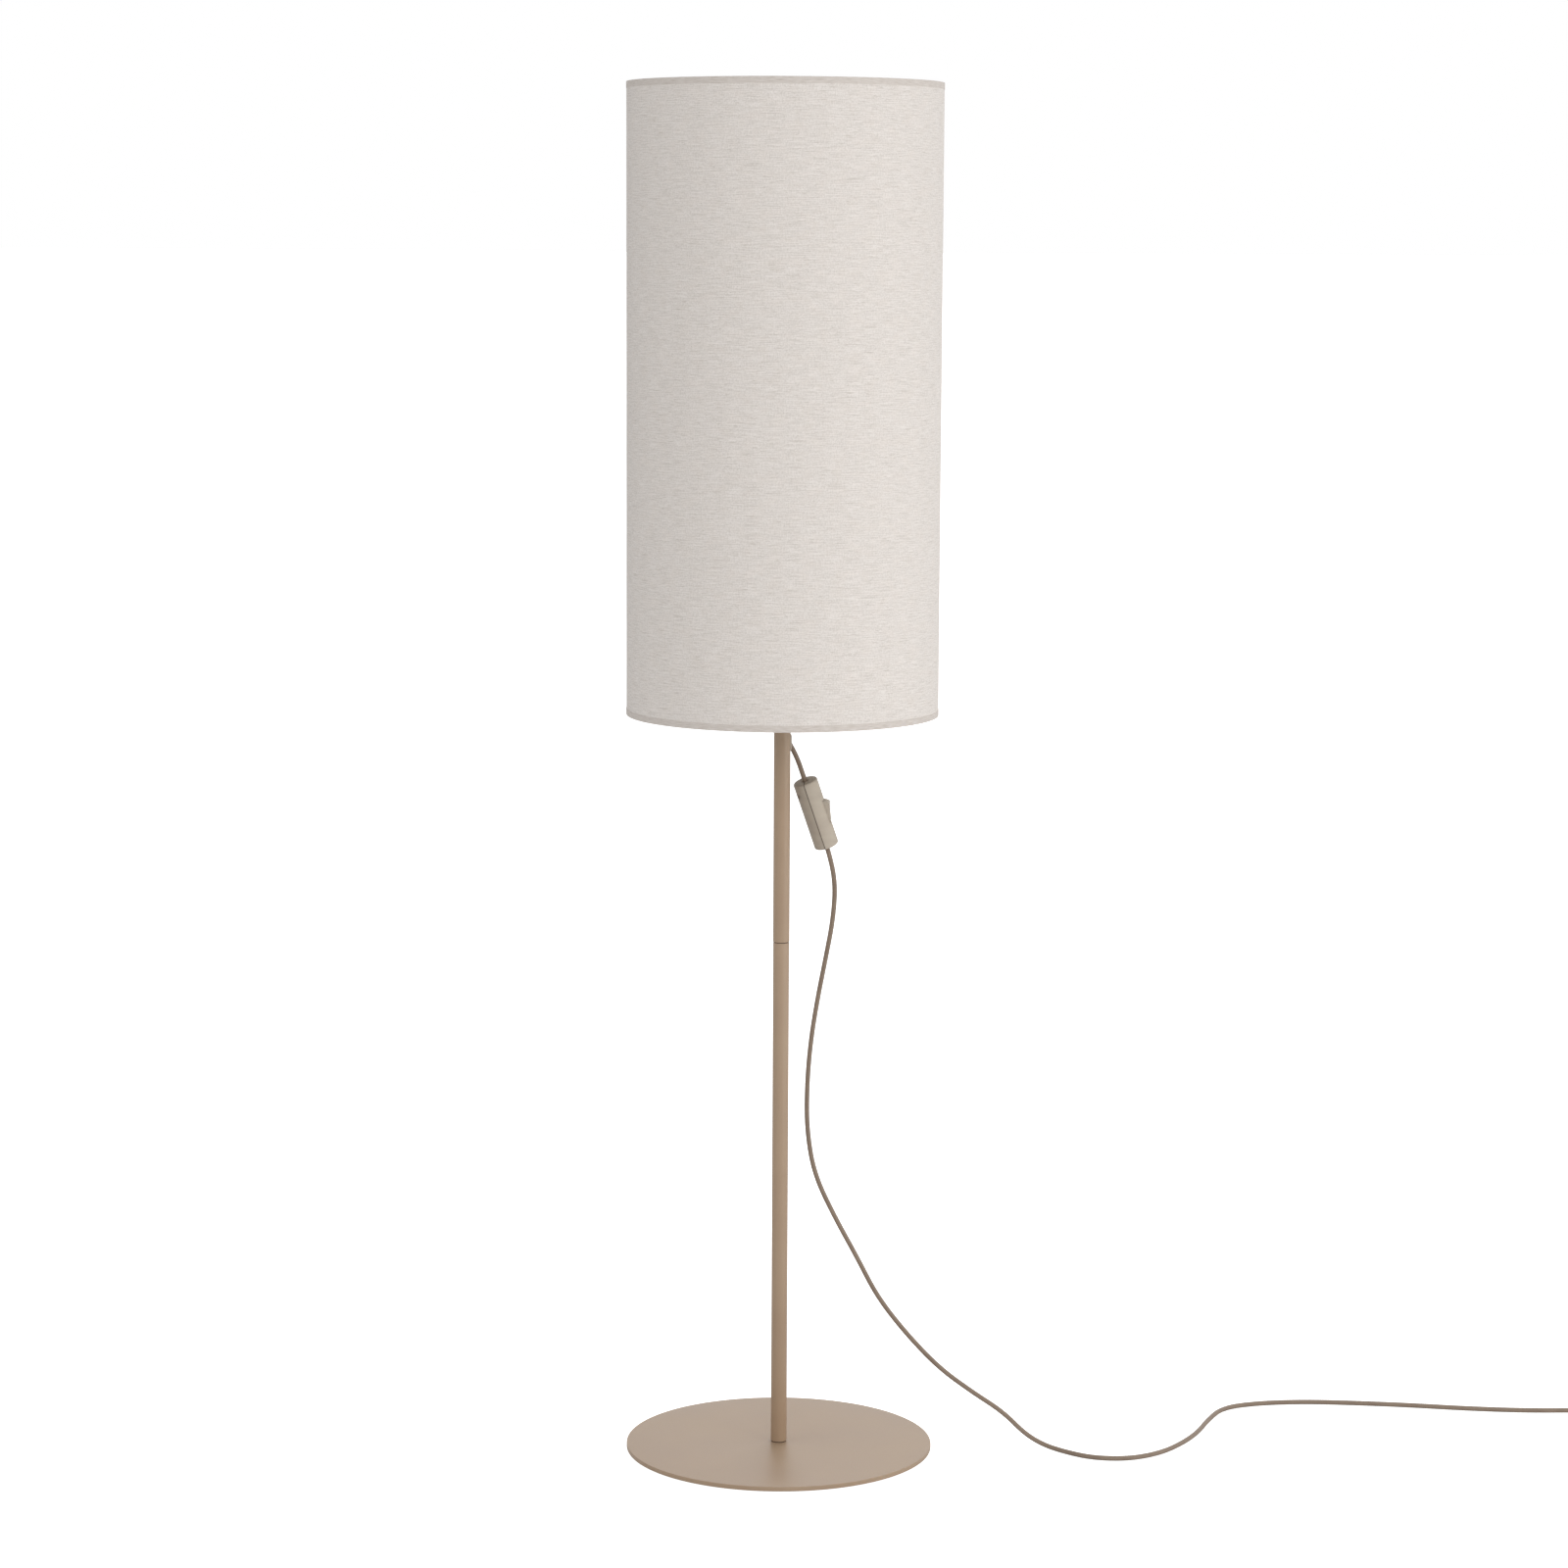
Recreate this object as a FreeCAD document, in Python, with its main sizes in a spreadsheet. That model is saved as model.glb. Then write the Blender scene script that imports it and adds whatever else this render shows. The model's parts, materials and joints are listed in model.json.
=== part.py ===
"""Column floor lamp: linen cylinder shade on a two-piece pole and a thin round foot.

Millimetres, +Z up. The origin is the middle of the foot, on the floor. The lamp is seen
from -Y, with its cord leaving the pole towards +X and +Y.
"""
import FreeCAD, Part
import math
import os
import re
import Sketcher

Vector = FreeCAD.Vector
UP = Vector(0, 0, 1)

# Driving sizes, in millimetres and degrees.
SIZES = {
    # foot
    "plate_diameter": 300.0,
    "plate_thickness": 4.5,
    "plate_edge": 0.6,
    "pad_diameter": 24.0,
    "pad_height": 1.0,
    "pad_circle": 250.0,
    "screw_diameter": 8.0,
    "screw_length": 22.0,
    "screw_head": 15.0,
    "screw_rim": 0.3,
    "screw_recess": 0.1,
    "screw_socket": 5.0,
    "screw_socket_depth": 2.4,
    "screw_clearance": 0.1,
    "foot_washer_diameter": 14.8,
    "foot_washer_height": 0.8,
    # pole
    "lower_diameter": 15.6,
    "lower_length": 498.4,
    "upper_diameter": 16.0,
    "upper_length": 240.6,
    "pole_wall": 1.2,
    "pole_edge": 0.3,
    "bush_clearance": 0.05,
    "bush_height": 25.0,
    "joint_washer_diameter": 14.2,
    "joint_washer_height": 0.7,
    "thread_diameter": 10.0,
    "thread_clearance": 0.1,
    "stud_length": 38.0,
    "top_bush_height": 14.0,
    "top_bush_flange": 2.0,
    # cord outlet in the upper tube; its height is measured down from the tube's top end
    "outlet_height": 46.0,
    "outlet_azimuth": 40.0,
    "outlet_angle": 36.0,
    "outlet_slot_width": 7.6,
    "outlet_slot_height": 14.4,
    "outlet_reach": 10.8,
    "lead_offset": 0.8,
    "grommet_lip": 1.3,
    "grommet_flange": 1.5,
    "grommet_clearance": 0.08,
    # lampholder
    "nipple_length": 31.0,
    "nipple_bore": 7.6,
    "nipple_below": 12.0,
    "nut_flats": 14.0,
    "nut_height": 3.0,
    "holder_neck": 17.0,
    "holder_neck_height": 5.0,
    "holder_diameter": 38.0,
    "holder_wall": 1.8,
    "holder_cap_height": 26.0,
    "holder_shoulder_height": 5.0,
    "skirt_height": 37.0,
    "shade_shoulder_diameter": 46.0,
    "shade_shoulder_height": 9.0,
    "shade_shoulder_thickness": 2.2,
    "insulator_height": 11.0,
    "insulator_bore": 9.0,
    "part_clearance": 0.15,
    "shell_wall": 0.5,
    "shell_clearance": 0.6,
    "shell_height": 22.0,
    "tongue_length": 16.0,
    "tongue_width": 5.0,
    "tongue_thickness": 0.6,
    "tongue_rise": 2.4,
    "terminal_screw": 3.5,
    "terminal_screw_length": 6.0,
    "terminal_pitch": 22.0,
    "clamp_ring_diameter": 51.0,
    "clamp_ring_height": 8.0,
    # bulb
    "bulb_diameter": 60.0,
    "bulb_height": 108.0,
    "bulb_neck": 29.0,
    "bulb_shoulder_angle": 40.0,
    "bulb_wall": 1.0,
    "bulb_cap_diameter": 26.2,
    "bulb_cap_height": 24.0,
    "bulb_cap_wall": 0.4,
    "bulb_insulator_height": 3.0,
    "bulb_insulator_foot": 12.0,
    "bulb_contact_diameter": 9.6,
    "bulb_contact_height": 1.4,
    # shade; its bottom rim is measured down from the shoulder that its hub rests on
    "shade_diameter": 300.0,
    "shade_height": 600.0,
    "shade_bottom": 60.2,
    "fabric_thickness": 0.35,
    "glue_gap": 0.05,
    "liner_thickness": 0.5,
    "seam_width": 14.0,
    "seam_thickness": 0.35,
    "trim_height": 6.2,
    "trim_inner_height": 9.0,
    "trim_thickness": 0.35,
    "ring_wire": 3.0,
    "arm_wire": 4.0,
    "arm_flat": 26.0,
    "arm_bend": 12.0,
    "arm_gap": 0.6,
    "hub_width": 2.15,
    "hub_height": 2.0,
    # cord and inline switch; the switch's top is measured from the pole's axis and down
    # from the outlet, and what lies inside it from its own axis or from the rocker's pivot
    "cord_diameter": 4.8,
    "cord_clearance": 0.3,
    "switch_top_x": 22.3,
    "switch_top_y": 13.0,
    "switch_top_z": 38.8,
    "switch_lean": 21.7,
    "switch_azimuth": 33.4,
    "switch_spin": -8.7,
    "switch_diameter": 24.0,
    "switch_length": 70.0,
    "switch_wall": 2.0,
    "switch_round": 1.6,
    "switch_hole": 6.8,
    "seam_edge": 0.3,
    "grip_inset": 6.0,
    "grip_width": 1.6,
    "grip_gap": 0.05,
    "carrier_length": 38.0,
    "carrier_top": 2.0,
    "carrier_clearance": 0.2,
    "rocker_width": 8.8,
    "rocker_gap": 0.25,
    "rocker_pivot": 7.4,
    "rocker_rise": 7.0,
    "rocker_reach": 11.8,
    "rocker_dish": 0.4,
    "rocker_tilt": 13.5,
    "rocker_keel": 2.2,
    "rocker_keel_length": 9.0,
    "rocker_wing": 0.6,
    "trunnion_diameter": 2.6,
    "trunnion_length": 1.5,
    "trunnion_gap": 0.05,
    "cheek_gap": 0.3,
    "cheek_width": 2.0,
    "cheek_length": 8.0,
    "cheek_bottom": 2.5,
    "cheek_top": 1.6,
    "contact_bar_length": 13.0,
    "contact_bar_width": 4.0,
    "contact_bar_thickness": 0.8,
    "contact_inset": 5.2,
    "contact_thickness": 0.75,
    "contact_width": 4.4,
    "terminal_boss": 4.4,
    "terminal_boss_height": 2.4,
    "terminal_boss_inset": 4.0,
    "shell_screw_side": 6.4,
    "shell_screw_inset": 11.5,
    "shell_screw_diameter": 2.9,
    "shell_screw_head": 5.2,
    "shell_screw_head_height": 1.8,
    "shell_screw_seat": 6.2,
    "shell_screw_grip": 5.0,
    "shell_boss_diameter": 5.0,
    # coil, tie and plug
    "coil_x": 868.0,
    "coil_y": 160.0,
    "coil_outer_radius": 34.0,
    "coil_pitch": 5.3,
    "coil_height": 3.5,
    "coil_turns": 4.25,
    "tie_azimuth": 135.0,
    "tie_width": 8.0,
    "tie_thickness": 0.5,
    "tie_clearance": 0.5,
    "plug_width": 35.3,
    "plug_thickness": 13.7,
    "plug_length": 36.0,
    "plug_corner": 4.0,
    "plug_round": 3.0,
    "plug_neck": 14.0,
    "plug_shoulder": 14.0,
    "plug_face": 26.0,
    "plug_face_length": 9.0,
    "tail_length": 24.0,
    "tail_start": 7.6,
    "tail_end": 10.6,
    "tail_groove_width": 1.6,
    "tail_groove_depth": 0.9,
    "tail_groove_pitch": 4.2,
    "pin_diameter": 4.0,
    "pin_length": 19.0,
    "pin_pitch": 18.6,
    "pin_core": 3.0,
    "pin_inside": 10.0,
    "sleeve_length": 10.0,
    "sleeve_diameter": 3.8,
    "pin_gap": 0.05,
}

PAD_COUNT = 4
ARM_COUNT = 3
TAIL_GROOVES = 4
COIL_ARCS_PER_TURN = 4

# Cord routes, as points chosen by eye from the photograph. Their ends are worked out from
# the outlet, the switch, the coil and the plug, and the hanging points keep their share of
# the height at which the cord leaves the switch.
LOWER_ROUTE_TOP = 590.5859
LOWER_ROUTE = [
    (52.8, 32.2, 558.7),
    (50.8, 35.6, 522.0),
    (44.0, 37.4, 484.2),
    (35.6, 36.2, 440.4),
    (29.2, 33.0, 398.6),
    (26.0, 28.4, 355.8),
    (26.2, 23.6, 314.0),
    (33.4, 18.4, 271.1),
    (53.5, 13.6, 229.4),
    (75.9, 10.0, 189.6),
    (95.8, 7.0, 150.9),
    (123.7, 4.6, 115.1),
    (157.6, 2.6, 79.4),
    (191.5, 1.2, 55.0),
    (221.4, 0.2, 35.7),
    (242.4, -0.9, 14.4),
    (261.3, -5.0, 3.9),
    (282.0, -23.3, 2.45),
    (307.6, -42.4, 2.45),
    (343.4, -44.4, 2.45),
    (375.6, -24.3, 2.45),
    (400.1, 8.9, 2.45),
    (418.8, 45.3, 2.45),
    (433.6, 88.8, 2.45),
    (452.5, 130.6, 2.45),
    (490.0, 147.9, 2.45),
    (539.3, 154.0, 2.45),
    (594.4, 149.9, 2.45),
    (648.5, 142.8, 2.45),
    (702.3, 132.6, 2.45),
    (759.3, 126.5, 2.45),
]
TAIL_ROUTE = [
    (903.2, 202.0, 6.85),
]
PLUG_START = (903.2, 220.0)
OUTLET_LEAD_OUT = 12.5
SWITCH_LEAD_OUT = 6.0
COIL_LEAD_IN = 50.0
TAIL_LEAD_OUT = 17.0

doc = FreeCAD.newDocument("ColumnFloorLamp")
sheet = doc.addObject("Spreadsheet::Sheet", "Sizes")
for row, (alias, number) in enumerate(SIZES.items(), 1):
    sheet.set(f"A{row}", alias)
    sheet.set(f"B{row}", str(number))
    sheet.setAlias(f"B{row}", alias)
doc.recompute()

# Heights and radii that several pieces share, as expressions of the driving sizes.
PLATE_TOP = "(pad_height + plate_thickness)"
SCREW_BOTTOM = "(pad_height + screw_recess)"
SCREW_RIM_TOP = f"({SCREW_BOTTOM} + screw_rim)"
SCREW_CONE_TOP = f"({SCREW_RIM_TOP} + (screw_head - screw_diameter) / 2)"
POLE_BOTTOM = f"({PLATE_TOP} + foot_washer_height)"
JOINT = f"({POLE_BOTTOM} + lower_length)"
UPPER_BOTTOM = f"({JOINT} + joint_washer_height)"
UPPER_TOP = f"({UPPER_BOTTOM} + upper_length)"
OUTLET = f"({UPPER_TOP} - outlet_height)"
FLANGE_TOP = f"({UPPER_TOP} + top_bush_flange)"
HOLDER_BOTTOM = f"({FLANGE_TOP} + nut_height)"
CAP_TOP = f"({HOLDER_BOTTOM} + holder_cap_height)"
SHOULDER_TOP = f"({CAP_TOP} + shade_shoulder_height + shade_shoulder_thickness)"
HUB_TOP = f"({SHOULDER_TOP} + hub_height)"
SKIRT_TOP = f"({CAP_TOP} + skirt_height)"
INSULATOR_TOP = f"({CAP_TOP} + insulator_height)"
TONGUE_TOP = f"({INSULATOR_TOP} + tongue_rise)"
BULB_BOTTOM = f"({TONGUE_TOP} + part_clearance)"
BULB_CAP_BOTTOM = f"({BULB_BOTTOM} + bulb_contact_height + bulb_insulator_height)"
BULB_CAP_TOP = f"({BULB_CAP_BOTTOM} + bulb_cap_height)"
BULB_TOP = f"({BULB_BOTTOM} + bulb_height)"
LOWER_BORE = "(lower_diameter / 2 - pole_wall)"
UPPER_BORE = "(upper_diameter / 2 - pole_wall)"
THREAD_HOLE = "(thread_diameter / 2 + thread_clearance)"
HOLDER_BORE = "(holder_diameter / 2 - holder_wall)"
SKIRT_RADIUS = "(holder_diameter / 2 + 0.5 * holder_wall)"
SKIRT_BORE = f"({SKIRT_RADIUS} - holder_wall)"
SHADE_BOTTOM = f"({SHOULDER_TOP} - shade_bottom)"
SHADE_TOP = f"({SHADE_BOTTOM} + shade_height)"
SHELL_BORE = "(bulb_cap_diameter / 2 + shell_clearance)"
FABRIC_INSIDE = "(shade_diameter / 2 - fabric_thickness)"
LINER_OUTSIDE = f"({FABRIC_INSIDE} - glue_gap)"
LINER_INSIDE = f"({LINER_OUTSIDE} - liner_thickness)"
TRIM_OUTSIDE = "(shade_diameter / 2 + glue_gap + trim_thickness)"
TRIM_INSIDE = f"({LINER_INSIDE} - glue_gap - trim_thickness)"
RING_RADIUS = f"({TRIM_INSIDE} - glue_gap - ring_wire / 2)"
RING_INSET = "(trim_thickness + glue_gap + ring_wire / 2)"
SWITCH_HALF = "(switch_length / 2)"
CAVITY_RADIUS = "(switch_diameter / 2 - switch_wall)"
CAVITY_HALF = f"({SWITCH_HALF} - switch_wall)"


# ---------------------------------------------------------------- expressions and sketches

def bound(expression):
    """The expression with each size's alias turned into a reference to the sheet."""
    return re.sub(r"\b([a-z]+_[a-z_]+)\b", r"Sizes.\1", expression)


def value(expression):
    """The number that an expression of the driving sizes comes to."""
    return float(sheet.evalExpression(bound(expression)))


def bind(target, path, expression):
    target.setExpression(path, bound(expression))


class Curve:
    """An arc of the given radius to the next point, bulging left (+1) or right (-1)."""

    def __init__(self, radius, side):
        self.radius = radius
        self.side = side


def origin_plane(body, role):
    return [item for item in body.Origin.OriginFeatures if item.Role == role][0]


def empty_sketch(body, name, plane, offset=None, turn=None):
    """A sketch on one of the body's own planes, moved in its own directions or turned."""
    sketch = body.newObject("Sketcher::SketchObject", name)
    sketch.AttachmentSupport = [(origin_plane(body, plane), "")]
    sketch.MapMode = "FlatFace"
    if turn is not None:
        axis, angle = turn
        rotation = FreeCAD.Rotation(axis, value(angle))
        sketch.AttachmentOffset = FreeCAD.Placement(Vector(), rotation)
        bind(sketch, "AttachmentOffset.Rotation.Angle", angle)
    if offset is not None:
        for letter, expression in zip("xyz", offset):
            bind(sketch, f"AttachmentOffset.Base.{letter}", expression)
    return sketch


def pin_point(sketch, edge, end, place):
    """Pins one end of an edge to the place that two expressions give."""
    for kind, expression in zip(("DistanceX", "DistanceY"), place):
        rule = Sketcher.Constraint(kind, -1, 1, edge, end, value(expression))
        bind(sketch, f"Constraints[{sketch.addConstraint(rule)}]", expression)


def side_of_outline(sketch, start, end, curve):
    """Draws one side and returns the sketch's numbers for its first and last point."""
    if curve is None:
        sketch.addGeometry(Part.LineSegment(start, end), False)
        return 1, 2
    radius = value(curve.radius)
    half = (end - start).Length / 2
    left = Vector(start.y - end.y, end.x - start.x, 0).normalize()
    inward = left * (-curve.side * math.sqrt(max(radius ** 2 - half ** 2, 0.0)))
    centre = (start + end) * 0.5 + inward
    first, last = (end, start) if curve.side > 0 else (start, end)
    angles = [math.atan2(point.y - centre.y, point.x - centre.x) for point in (first, last)]
    sketch.addGeometry(Part.ArcOfCircle(Part.Circle(centre, UP, radius), *angles), False)
    return (2, 1) if curve.side > 0 else (1, 2)


def draw_outline(sketch, outline):
    """A closed outline: pairs of expressions, with a Curve between the ends of a curved side."""
    corners = []
    curves = {}
    for item in outline:
        if isinstance(item, Curve):
            curves[len(corners) - 1] = item
        else:
            corners.append(item)
    places = [Vector(value(across), value(along), 0) for across, along in corners]
    count = len(corners)
    first_edge = sketch.GeometryCount
    ends = []
    for index in range(count):
        curve = curves.get(index)
        ends.append(side_of_outline(sketch, places[index], places[(index + 1) % count], curve))
    for index in range(count):
        edge = first_edge + index
        following = (index + 1) % count
        sketch.addConstraint(Sketcher.Constraint(
            "Coincident", edge, ends[index][1], first_edge + following, ends[following][0]))
        pin_point(sketch, edge, ends[index][0], corners[index])
        if index in curves:
            radius = curves[index].radius
            rule = Sketcher.Constraint("Radius", edge, value(radius))
            bind(sketch, f"Constraints[{sketch.addConstraint(rule)}]", radius)


def draw_circle(sketch, radius, centre=("0", "0")):
    place = Vector(value(centre[0]), value(centre[1]), 0)
    edge = sketch.addGeometry(Part.Circle(place, UP, value(radius)), False)
    rule = Sketcher.Constraint("Radius", edge, value(radius))
    bind(sketch, f"Constraints[{sketch.addConstraint(rule)}]", radius)
    pin_point(sketch, edge, 3, centre)


# ---------------------------------------------------------------- features

nodes = []


def new_body(label):
    body = doc.addObject("PartDesign::Body", label)
    body.Label = label
    nodes.append(body)
    return body


def feature_name(body, kind):
    return f"{body.Label}_{kind}_{len(body.Group)}"


def turn_solid(body, outline, angle=None, cut=False, plane="XZ_Plane"):
    """Turns a closed outline of (radius, height) about its upright axis, or a sector of it."""
    sketch = empty_sketch(body, feature_name(body, "outline"), plane)
    draw_outline(sketch, outline)
    kind = "Groove" if cut else "Revolution"
    feature = body.newObject(f"PartDesign::{kind}", feature_name(body, "turned"))
    feature.Profile = sketch
    feature.ReferenceAxis = (sketch, ["V_Axis"])
    if angle is None:
        feature.Angle = 360
    else:
        feature.Midplane = True
        bind(feature, "Angle", angle)
    sketch.Visibility = False
    return feature


def turned(label, outline):
    body = new_body(label)
    turn_solid(body, outline)
    return body


def ring_outline(inside, outside, bottom, top):
    return [(inside, bottom), (outside, bottom), (outside, top), (inside, top)]


def raise_solid(body, sketch, length, midplane=False, reverse=False, cut=False):
    """Pads or pockets a sketch over a length, along or against its plane's normal."""
    kind = "Pocket" if cut else "Pad"
    feature = body.newObject(f"PartDesign::{kind}", feature_name(body, kind.lower()))
    feature.Profile = sketch
    feature.Type = 0
    bind(feature, "Length", length)
    feature.Midplane = midplane
    feature.Reversed = reverse
    sketch.Visibility = False
    return feature


def outline_block(body, outline, plane, length, offset=None, turn=None, **how):
    sketch = empty_sketch(body, feature_name(body, "outline"), plane, offset, turn)
    draw_outline(sketch, outline)
    return raise_solid(body, sketch, length, **how)


def round_block(body, radius, plane, length, centre=("0", "0"), offset=None, turn=None, **how):
    sketch = empty_sketch(body, feature_name(body, "circle"), plane, offset, turn)
    draw_circle(sketch, radius, centre)
    return raise_solid(body, sketch, length, **how)


def hexagon(flats):
    """The six corners of a hexagon of that width across its flats."""
    half = f"({flats}) / 2"
    point = f"({flats}) / sqrt(3)"
    short = f"({flats}) / sqrt(12)"
    return [(half, short), ("0", point), (f"-{half}", short),
            (f"-{half}", f"-{short}"), ("0", f"-({point})"), (half, f"-{short}")]


def rectangle(width, height):
    across = f"({width}) / 2"
    along = f"({height}) / 2"
    return [(across, along), (f"-{across}", along), (f"-{across}", f"-{along}"),
            (across, f"-{along}")]


def slot_outline(width, height):
    """An upright slot with round ends, each drawn as two quarter turns."""
    across = f"({width}) / 2"
    along = f"(({height}) - ({width})) / 2"
    tip = f"({height}) / 2"
    return [(across, f"-{along}"), (across, along),
            Curve(across, -1), ("0", tip), Curve(across, -1), (f"-{across}", along),
            (f"-{across}", f"-{along}"),
            Curve(across, -1), ("0", f"-{tip}"), Curve(across, -1)]


def dress_edges(body, kind, wanted, size):
    """Rounds (Fillet) or breaks (Chamfer) the edges of the body's last feature that pass."""
    doc.recompute()
    last = body.Tip
    names = [f"Edge{number}" for number, edge in enumerate(last.Shape.Edges, 1) if wanted(edge)]
    dressing = body.newObject(f"PartDesign::{kind}", feature_name(body, kind.lower()))
    dressing.Base = (last, names)
    bind(dressing, {"Fillet": "Radius", "Chamfer": "Size"}[kind], size)


def solid_node(label, shape):
    """A sub-part whose shape is worked out here from the sheet's sizes."""
    part = doc.addObject("Part::Feature", label)
    part.Label = label
    part.Shape = shape
    part.Placement = FreeCAD.Placement()
    nodes.append(part)
    return part


# ---------------------------------------------------------------- foot

def base_plate():
    seat = "(screw_head / 2 + screw_clearance)"
    hole = "(screw_diameter / 2 + screw_clearance)"
    rim = "plate_diameter / 2"
    turned("base_plate", [
        (seat, "pad_height"), (f"{rim} - plate_edge", "pad_height"),
        (rim, "pad_height + plate_edge"), (rim, f"{PLATE_TOP} - plate_edge"),
        (f"{rim} - plate_edge", PLATE_TOP), (hole, PLATE_TOP),
        (hole, SCREW_CONE_TOP), (seat, SCREW_RIM_TOP)])


def base_pads():
    """Felt pads, evenly spaced on a circle, that the lamp stands on."""
    pads = []
    for number in range(PAD_COUNT):
        angle = 360.0 / PAD_COUNT * (number + 0.5)
        pad = doc.addObject("Part::Cylinder", f"pad_{number + 1}")
        bind(pad, "Radius", "pad_diameter / 2")
        bind(pad, "Height", "pad_height")
        bind(pad, "Placement.Base.x", f"pad_circle / 2 * cos({angle})")
        bind(pad, "Placement.Base.y", f"pad_circle / 2 * sin({angle})")
        pads.append(pad)
    group = doc.addObject("Part::Compound", "base_pads")
    group.Label = "base_pads"
    group.Links = pads
    nodes.append(group)


def base_screw():
    body = turned("base_screw", [
        ("0", SCREW_BOTTOM), ("screw_head / 2", SCREW_BOTTOM),
        ("screw_head / 2", SCREW_RIM_TOP), ("screw_diameter / 2", SCREW_CONE_TOP),
        ("screw_diameter / 2", f"{SCREW_BOTTOM} + screw_length"),
        ("0", f"{SCREW_BOTTOM} + screw_length")])
    outline_block(body, hexagon("screw_socket"), "XY_Plane", "screw_socket_depth",
                  offset=("0", "0", SCREW_BOTTOM), cut=True, reverse=True)


def foot_washer():
    turned("foot_washer", ring_outline(
        "screw_diameter / 2 + screw_clearance", "foot_washer_diameter / 2",
        PLATE_TOP, POLE_BOTTOM))


# ---------------------------------------------------------------- pole

def tube_outline(radius, bore, bottom, top):
    """A tube with its outer edges broken at both ends."""
    return [
        (bore, bottom), (f"{radius} - pole_edge", bottom), (radius, f"{bottom} + pole_edge"),
        (radius, f"{top} - pole_edge"), (f"{radius} - pole_edge", top), (bore, top)]


def lower_pole():
    turned("lower_pole", tube_outline("lower_diameter / 2", LOWER_BORE, POLE_BOTTOM, JOINT))


def upper_pole():
    """The upper tube, with an upright slot for the cord under the shade."""
    body = turned("upper_pole", tube_outline(
        "upper_diameter / 2", UPPER_BORE, UPPER_BOTTOM, UPPER_TOP))
    outline_block(body, slot_outline("outlet_slot_width", "outlet_slot_height"), "YZ_Plane",
                  "upper_diameter", offset=("0", OUTLET, "0"), cut=True, reverse=True)
    face_outlet(body)


def face_outlet(body):
    """Turns a body that is drawn with the outlet towards +X to the outlet's azimuth."""
    body.Placement = FreeCAD.Placement(Vector(), FreeCAD.Rotation(UP, value("outlet_azimuth")))
    bind(body, "Placement.Rotation.Angle", "outlet_azimuth")


def pole_bushes():
    """Threaded bushes pressed into the ends of the tubes."""
    lower_fit = f"{LOWER_BORE} - bush_clearance"
    upper_fit = f"{UPPER_BORE} - bush_clearance"
    turned("foot_bush", ring_outline(
        "screw_diameter / 2 + screw_clearance", lower_fit,
        POLE_BOTTOM, f"{POLE_BOTTOM} + bush_height"))
    turned("lower_top_bush", ring_outline(
        THREAD_HOLE, lower_fit, f"{JOINT} - bush_height", JOINT))
    turned("upper_bottom_bush", ring_outline(
        THREAD_HOLE, upper_fit, UPPER_BOTTOM, f"{UPPER_BOTTOM} + bush_height"))
    turned("upper_top_bush", [
        (THREAD_HOLE, f"{UPPER_TOP} - top_bush_height"), (upper_fit, f"{UPPER_TOP} - top_bush_height"),
        (upper_fit, UPPER_TOP), ("upper_diameter / 2", UPPER_TOP),
        ("upper_diameter / 2", FLANGE_TOP), (THREAD_HOLE, FLANGE_TOP)])


def pole_joint():
    """The washer in the groove between the tubes, and the stud through it."""
    turned("joint_washer", ring_outline(
        THREAD_HOLE, "joint_washer_diameter / 2", JOINT, UPPER_BOTTOM))
    middle = f"({JOINT} + joint_washer_height / 2)"
    turned("joint_stud", [
        ("0", f"{middle} - stud_length / 2"), ("thread_diameter / 2", f"{middle} - stud_length / 2"),
        ("thread_diameter / 2", f"{middle} + stud_length / 2"), ("0", f"{middle} + stud_length / 2")])


def cord_grommet():
    """A saddle that hugs the tube round its slot, with a slanting way through for the cord."""
    body = new_body("cord_grommet")
    outside = "(upper_diameter / 2 + grommet_lip)"
    saddle = "(upper_diameter / 2 + grommet_clearance)"
    inside = f"({UPPER_BORE} - grommet_flange / 2)"
    low = f"{OUTLET} - outlet_slot_height"
    high = f"{OUTLET} + outlet_slot_height"
    middle = ("0", OUTLET, "0")
    outline_block(body, slot_outline("outlet_slot_width + 2 * grommet_flange",
                                     "outlet_slot_height + 2 * grommet_flange"),
                  "YZ_Plane", f"{outside} + grommet_lip", offset=middle)
    turn_solid(body, ring_outline(outside, f"{outside} + 3 * grommet_lip", low, high), cut=True)
    turn_solid(body, ring_outline("0", saddle, low, high), cut=True)
    outline_block(body, slot_outline("outlet_slot_width - 2 * grommet_clearance",
                                     "outlet_slot_height - 2 * grommet_clearance"),
                  "YZ_Plane", f"{saddle} + grommet_lip / 2", offset=middle)
    turn_solid(body, ring_outline("0", inside, low, high), cut=True)
    round_block(body, "cord_diameter / 2 + cord_clearance", "XY_Plane", "4 * outlet_slot_height",
                offset=("upper_diameter / 2", "0", OUTLET),
                turn=(Vector(0, 1, 0), "180 - outlet_angle"), cut=True, midplane=True)
    face_outlet(body)


# ---------------------------------------------------------------- lampholder

def holder_fixing():
    turned("holder_nipple", ring_outline(
        "nipple_bore / 2", "thread_diameter / 2", f"{UPPER_TOP} - nipple_below",
        f"{UPPER_TOP} - nipple_below + nipple_length"))
    nut = new_body("holder_locknut")
    outline_block(nut, hexagon("nut_flats"), "XY_Plane", "nut_height",
                  offset=("0", "0", FLANGE_TOP))
    round_block(nut, THREAD_HOLE, "XY_Plane", "4 * nut_height", offset=("0", "0", FLANGE_TOP),
                cut=True, midplane=True)


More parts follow.
